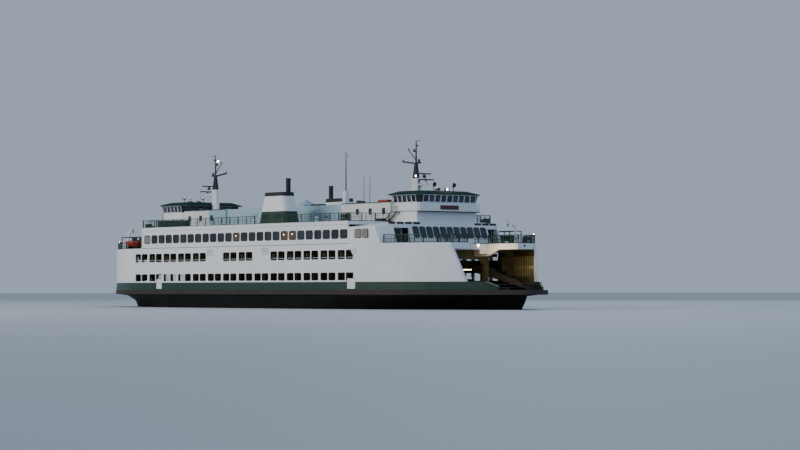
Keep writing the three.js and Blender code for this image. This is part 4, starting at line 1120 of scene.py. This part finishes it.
def boat_cover():
    """A sheet that narrows to the bow and crowns in the middle."""
    cover = bmesh.new()
    for v in bmesh.ops.create_grid(cover, x_segments=12, y_segments=8, size=1.0)["verts"]:
        along, aside = v.co.x, v.co.y
        half = 0.86 * (1 - max(along - 0.25, 0) ** 1.6 / 0.75 ** 1.6 * 0.92)
        crown = 0.18 * (1 - aside ** 2) * (1 - 0.5 * along ** 2)
        v.co = Vector((BOAT_X + along * 2.0, BOAT_Y + aside * half, BOAT_RIM + 0.02 + crown)) * S
    bmesh.ops.solidify(cover, geom=cover.faces[:], thickness=0.04 * S)
    return cover


def add_boats():
    piece("boat_tube_1", boat_tube(), GREEN, slot="orange_paint")
    piece("boat_cover_1", boat_cover(), GREEN)
    tube, (inside, straps) = boat_tube(), drawings(2)
    for x, half, z in BOAT_INSIDE:
        block(inside, off(BOAT_X, *x), around(BOAT_Y, half), off(BOAT_RIM, *z))
    for x in BOAT_STRAPS:
        block(straps, around(BOAT_X + x, 0.04), around(BOAT_Y, 0.87), off(BOAT_RIM, 0.03, 0.06))
    for bm in (tube, inside, straps):
        turned_half(bm)
    piece("boat_tube_2", tube, ORANGE)
    piece("boat_inside_2", inside, CONSOLE, bevel=0.03)
    piece("boat_straps_2", straps, CONSOLE)


DAVIT_X, DAVIT_Y = 34.1, 9.0
DRUM_X, DRUM_LEVEL = DAVIT_X + 0.12, DECK_TOP + 0.95
TIP_X, TIP_Y, TIP_Z = 31.9, 9.5, 11.7


def add_davit_parts():
    """A winch drum with its two flanges and its gearbox, and a hook under the arm's tip."""
    for end in (1, 2):
        drum, hook = drawings(2)
        for low, high, radius in ((-0.3, 0.3, 0.15), (-0.3, -0.26, 0.22), (0.26, 0.3, 0.22)):
            rod(drum, (DRUM_X, DAVIT_Y + low, DRUM_LEVEL), (DRUM_X, DAVIT_Y + high, DRUM_LEVEL), radius, 16)
        block(drum, off(DAVIT_X, 0.1, 0.36), around(DAVIT_Y, 0.18), off(DECK_TOP, 0.72, 1.15))
        post(hook, TIP_X, TIP_Y, TIP_Z, TIP_Z - 0.5, 0.025, 6)
        block(hook, around(TIP_X, 0.08), around(TIP_Y, 0.06), off(TIP_Z, -0.72, -0.48))
        post(hook, TIP_X, TIP_Y, TIP_Z - 0.7, TIP_Z - 0.86, 0.05, 8, 0.03)
        if end == 2:
            turned_half(drum)
            turned_half(hook)
        piece(f"davit_winch_{end}", drum, WHITE, f"davit_{end}", bevel=0.01)
        piece(f"davit_hook_{end}", hook, BLACK, f"davit_{end}")


# Ends of the passenger deck: fascia lamps, fairleads, corner posts and the solid part of the rail

def add_fork_details():
    white, black, warm, cool = drawings(4)
    block(white, (34.44, 34.5), (-1.1, 1.6), off(DECK_TOP, 0.02, 0.6))
    for side in SIDES:
        rod(black, (40.4, side * 6.6, DECK_TOP + 1.0), (40.6, side * 6.65, DECK_TOP + 1.05), 0.08)
        post(white, 40.42, side * 6.68, *off(DECK_TOP, 0, 1.15), 0.06)
    both_sides(white, (34.3, 34.62), (2.6, 3.98), (7.2, 7.75))
    block(black, (37.25, 37.6), (8.35, 8.7), off(DECK_TOP, 0.55, 0.85))
    ball(warm, (34.64, 2.3, 8.28), 0.13)
    ball(warm, (40.5, 6.75, DECK_TOP + 1.2), 0.08)
    block(cool, (30.5, 30.62), (2.95, 4.35), (5.12, 5.2))
    level_rod(black, (40.55, 40.68), 5.1, 8.18, 0.13, 14)
    twins("fork_white_details", white, WHITE, bevel=0.01)
    twins("fork_fairleads", black, BLACK)
    twins("fork_lamps", warm, WARM_LAMP)
    twins("wing_deck_tube_lamps", cool, WARM_LAMP)


# Car deck: beams, ribs, kerbs, doors in the casing, lamps, lane lines and mooring gear

# How far the shell's inner face lies inside the plan outline
SHELL_INSET = 0.43
RIBS_END = 40.2
END_RIBS = (28.3, -28.4)
END_RIB_PITCH = 0.96
# Middle, half width and head of the side doors in the bulwark, where a rib starts higher
SIDE_DOORS = ((26, 1.1), (-20.9, 1.0))
DOOR_HEAD = 4.15
LINING_START = 28.3
CASING_WALL = 2.3
BEAM_END = 2.32
FLANGE_TOP = 7.35
CASING_DOORS = (-26, -17, -9, -2, 6, 13, 21, 27)
KERB_Y = 6.62
KERB_END = 23.9
CHAIN_X = 42.6
CHAIN_SPAN = 5.4
CHAIN_SAG = 0.25


def rib_places():
    for index in range(PAIR_COUNT):
        start = PAIR_FIRST + index * PAIR_PITCH
        yield start + PANE_WIDTH + MULLION / 2
        yield start - (PAIR_PITCH - 2 * PANE_WIDTH - MULLION) / 2
    for i in range(13):
        yield END_RIBS[0] + i * END_RIB_PITCH
        yield END_RIBS[1] - i * END_RIB_PITCH


def add_shell_ribs():
    ribs, lining = drawings(2)
    for x in rib_places():
        if abs(x) > RIBS_END:
            continue
        wall = half_breadth(x, SHELL_INSET)
        by_door = any(abs(x - middle) < half for middle, half in SIDE_DOORS)
        for side in SIDES:
            for low, high in ((CAR_DECK + 0.02, 5.25), (5.65, DECK_UNDER)):
                block(ribs, around(x * -side, 0.04), across(side, wall - 0.18, wall),
                      (max(low, DOOR_HEAD) if by_door else low, high))
    piece("side_shell_ribs", ribs, OLIVE)
    for i in range(12):
        x0 = LINING_START + i
        x1 = x0 + 1
        for end in SIDES:
            for side in SIDES:
                panel(lining, (end * x0, side * half_breadth(x0, SHELL_INSET)),
                      (end * x1, side * half_breadth(x1, SHELL_INSET)), 4.3, DECK_UNDER - 0.02, 0.03)
    piece("side_shell_lining", lining, PALE_OLIVE)


def add_ceiling():
    """T-shaped beams across each lane, one girder along it and tube lamps between the beams."""
    beams, tubes = drawings(2)
    for i in range(-7, 8):
        x = i * PAIR_PITCH
        reach = (BEAM_END, half_breadth(x, 0.45))
        both_sides(beams, around(x, 0.06), reach, (FLANGE_TOP, DECK_UNDER - 0.003))
        both_sides(beams, around(x, 0.16), reach, off(FLANGE_TOP, -0.04, 0))
    both_sides(beams, around(0, 30.5), (6.4, 6.52), (7.2, 7.745))
    for i in (-6, -3, 0, 3, 6):
        both_sides(tubes, off(i * PAIR_PITCH, 1.3, 2.5), (4.4, 4.54), (7.55, 7.63))
    piece("car_deck_beams", beams, OLIVE)
    piece("car_deck_lamps", tubes, DIM_LAMP)


def add_casing_fittings():
    doors, boxes, pipes = drawings(3)
    for x in CASING_DOORS:
        both_sides(doors, around(x, 0.45), off(CASING_WALL, 0, 0.06), off(CAR_DECK, 0.15, 2.15))
        both_sides(boxes, off(x, 1.2, 1.9), off(CASING_WALL, 0, 0.16), off(CAR_DECK, 0.9, 1.7))
    for side in SIDES:
        for z, radius in ((6.9, 0.06), (7.12, 0.045)):
            level_rod(pipes, around(0, 29), side * (CASING_WALL + 0.14), z, radius)
    piece("casing_doors", doors, GREEN, bevel=0.015)
    piece("casing_hose_boxes", boxes, ORANGE, bevel=0.02)
    piece("casing_pipes", pipes, WHITE)


def add_wing_deck_kerbs():
    kerbs = bmesh.new()
    both_sides(kerbs, around(0, KERB_END), off(KERB_Y, 0, 0.08), (5.6, 6.5))
    for side in SIDES:
        level_rod(kerbs, around(0, KERB_END), side * (KERB_Y + 0.04), 6.52, 0.06)
    piece("wing_deck_kerbs", kerbs, WING_PAINT)


def add_car_deck_gear():
    lines, bollards, chain = drawings(3)
    for y in (-6.35, -4.3, 4.3, 6.35):
        block(lines, around(0, 36), around(y, 0.06), off(CAR_DECK, 0, 0.01))
    block(lines, (39.4, 39.6), around(0, 6.2), off(CAR_DECK, 0, 0.01))
    for side in SIDES:
        for x, y in ((44.2, side * 3.9), (41.6, side * 5.5)):
            for dx in (-0.3, 0.3):
                post(bollards, x + dx, y, *off(CAR_DECK, 0, 0.55), 0.14, 14)
                post(bollards, x + dx, y, *off(CAR_DECK, 0.5, 0.6), 0.18, 14)
            block(bollards, around(x, 0.55), around(y, 0.22), off(CAR_DECK, 0, 0.05))
    both_sides(bollards, (45.2, 45.9), (1.7, 2.3), off(CAR_DECK, 0, 0.3))
    for level in (0.55, 0.95):
        spots = [(CHAIN_X, CHAIN_SPAN * (2 * t - 1), CAR_DECK + level - CHAIN_SAG * 4 * t * (1 - t))
                 for t in (i / 12 for i in range(13))]
        for start, end in zip(spots, spots[1:]):
            rod(chain, start, end, 0.03, 6)
    for side in SIDES:
        post(chain, CHAIN_X, side * CHAIN_SPAN, *off(CAR_DECK, 0, 1.05), 0.05)
    twins("lane_lines", lines, LINE_YELLOW)
    twins("mooring_gear", bollards, BLACK)
    twins("end_chains", chain, WIRE)


# Hull: scuppers, bilge keels, anodes and finished propellers

SCUPPERS = (-37, -26.5, -16, -10.3, 5.2, 8.4, 17.5, 31)
SCUPPER_LEVELS = (2.68, 2.86)
KEEL_DROOP = math.radians(35)
ANODES = ((33, -4.4), (36, -4.2), (38.5, -3.9))
SHAFT_X, SHAFT_Z = 41.6, -2.9
# The hub, its cap and the shaft: x from and to, the two radii and the sides
HUB_PARTS = ((-0.45, 0.25, 0.5, 0.36, 24), (0.2, 0.45, 0.34, 0.12, 24), (-0.79, -0.4, 0.2, 0.2, 20))


def add_hull_fittings():
    scuppers, keels, anodes = drawings(3)
    for side in SIDES:
        # Each scupper is a black plate on the hull: painted shade standing in for the opening.
        for x in SCUPPERS:
            wall = half_breadth(x, 0.1)
            block(scuppers, around(x * -side, 0.22), across(side, *off(wall, -0.02, 0.015)), SCUPPER_LEVELS)
        verts = block(keels, around(0, 9), across(side, 8.55, 9.35), (-4.0, -3.94))
        bmesh.ops.rotate(keels, verts=verts, cent=Vector((0, side * 8.8, -3.97)) * S,
                         matrix=Matrix.Rotation(-side * KEEL_DROOP, 3, "X"))
    for end in SIDES:
        for x, z in ANODES:
            both_sides(anodes, around(end * x, 0.4), (0.3, 0.38), around(z, 0.12))
    piece("scuppers", scuppers, BLACK)
    piece("bilge_keels", keels, HULL)
    piece("hull_anodes", anodes, ZINC, bevel=0.02)


def blade_pattern():
    """One twisted blade standing up from the shaft line, drawn round the origin."""
    bm = bmesh.new()
    for v in bmesh.ops.create_grid(bm, x_segments=8, y_segments=10, size=1.0)["verts"]:
        chord, span = v.co.x, (v.co.y + 1) / 2
        radius = 0.3 + 1.32 * span
        pitch = math.atan(0.62 / radius)
        half = 0.16 + 0.5 * math.sin(math.pi * min(span * 0.86 + 0.12, 1.0)) ** 0.8
        offset = chord * half * (1 - max(span - 0.85, 0) * 3.2) + 0.12 * span ** 2
        v.co = Vector((offset * math.sin(pitch), offset * math.cos(pitch), radius)) * S
    bmesh.ops.solidify(bm, geom=bm.faces[:], thickness=0.045 * S)
    return pattern_mesh("propeller_blade", bm)


def add_propellers():
    blade = blade_pattern()
    for end in (1, 2):
        wheel = bmesh.new()
        for i in range(4):
            stamp(wheel, blade, Matrix.Translation(Vector((SHAFT_X, 0, SHAFT_Z)) * S)
                  @ Matrix.Rotation(i * math.pi / 2, 4, "X"))
        for low, high, radius, end_radius, sides in HUB_PARTS:
            level_rod(wheel, off(SHAFT_X, low, high), 0, SHAFT_Z, radius, sides, end_radius)
        if end == 2:
            turned_half(wheel)
        obj = piece(f"finished_propeller_{end}", wheel, BRONZE, f"propeller_{end}")
        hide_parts(f"propeller_{end}")


add_boats()
add_davit_parts()
add_fork_details()
add_shell_ribs()
add_ceiling()
add_casing_fittings()
add_wing_deck_kerbs()
add_car_deck_gear()
add_hull_fittings()
add_propellers()


# Camera and light
CAMERA_AZIMUTH = math.radians(54.93)
CAMERA_DISTANCE = 360.8
CAMERA_HEIGHT = 2.5
FOCAL_PIXELS = 2577
SHIP_PIXEL_U = 310.39
HORIZON_PIXEL_V = 290.0
FRAME_PIXELS = (800, 450)


def add_camera():
    data = bpy.data.cameras.new("camera")
    camera = bpy.data.objects.new("camera", data)
    bpy.context.scene.collection.objects.link(camera)
    place = Vector((math.sin(CAMERA_AZIMUTH), -math.cos(CAMERA_AZIMUTH), 0)) * CAMERA_DISTANCE
    place.z = CAMERA_HEIGHT
    right = Vector((math.cos(CAMERA_AZIMUTH), math.sin(CAMERA_AZIMUTH), 0))
    ahead = Vector((-math.sin(CAMERA_AZIMUTH), math.cos(CAMERA_AZIMUTH), 0))
    aside = (FRAME_PIXELS[0] / 2 - SHIP_PIXEL_U) / FOCAL_PIXELS
    above = (HORIZON_PIXEL_V - FRAME_PIXELS[1] / 2) / FOCAL_PIXELS
    look = ahead + right * aside + Vector((0, 0, above))
    camera.location = place * S
    camera.rotation_euler = look.to_track_quat("-Z", "Y").to_euler()
    data.sensor_fit = "HORIZONTAL"
    data.angle = 2 * math.atan(FRAME_PIXELS[0] / 2 / FOCAL_PIXELS)
    data.clip_end = 400
    bpy.context.scene.camera = camera


def add_light(name, place, target, size, power, colour):
    data = bpy.data.lights.new(name, "AREA")
    data.shape = "RECTANGLE"
    data.size, data.size_y = size
    data.energy = power
    data.color = srgb(colour)[:3]
    light = bpy.data.objects.new(name, data)
    light.location = place
    light.visible_camera = False
    light.rotation_euler = (Vector(target) - Vector(place)).to_track_quat("-Z", "Y").to_euler()
    bpy.context.scene.collection.objects.link(light)


def add_studio():
    world = bpy.data.worlds.new("studio")
    bpy.context.scene.world = world
    world.use_nodes = True
    world.node_tree.nodes["Background"].inputs["Color"].default_value = srgb("#b4c4d8")
    world.node_tree.nodes["Background"].inputs["Strength"].default_value = 0.75
    add_light("side_softbox", (-4, -22, 10), (0, 0, 0.6), (16, 8), 2620, "#fff3e6")
    add_light("end_softbox", (24, 4, 8), (2, 0, 0.6), (10, 8), 470, "#5aa6ff")
    add_light("back_softbox", (-14, 18, 14), (0, 0, 1), (12, 8), 800, "#dfe8f5")
    add_light("car_deck_glow", (3.75, 0.1, 0.68), (3.9, 0.9, 0.5), (0.3, 0.3), 1.6, "#ffdca6")
    bm = bmesh.new()
    bmesh.ops.create_grid(bm, x_segments=1, y_segments=1, size=150)
    mesh = bpy.data.meshes.new("studio_floor")
    bm.to_mesh(mesh)
    bm.free()
    floor = bpy.data.objects.new("studio_floor", mesh)
    bpy.context.scene.collection.objects.link(floor)
    paint = new_material("studio_floor_paint", **{"Base Color": srgb("#c3c9cf"), "Roughness": 0.6})[0]
    mesh.materials.append(paint)


add_camera()
add_studio()
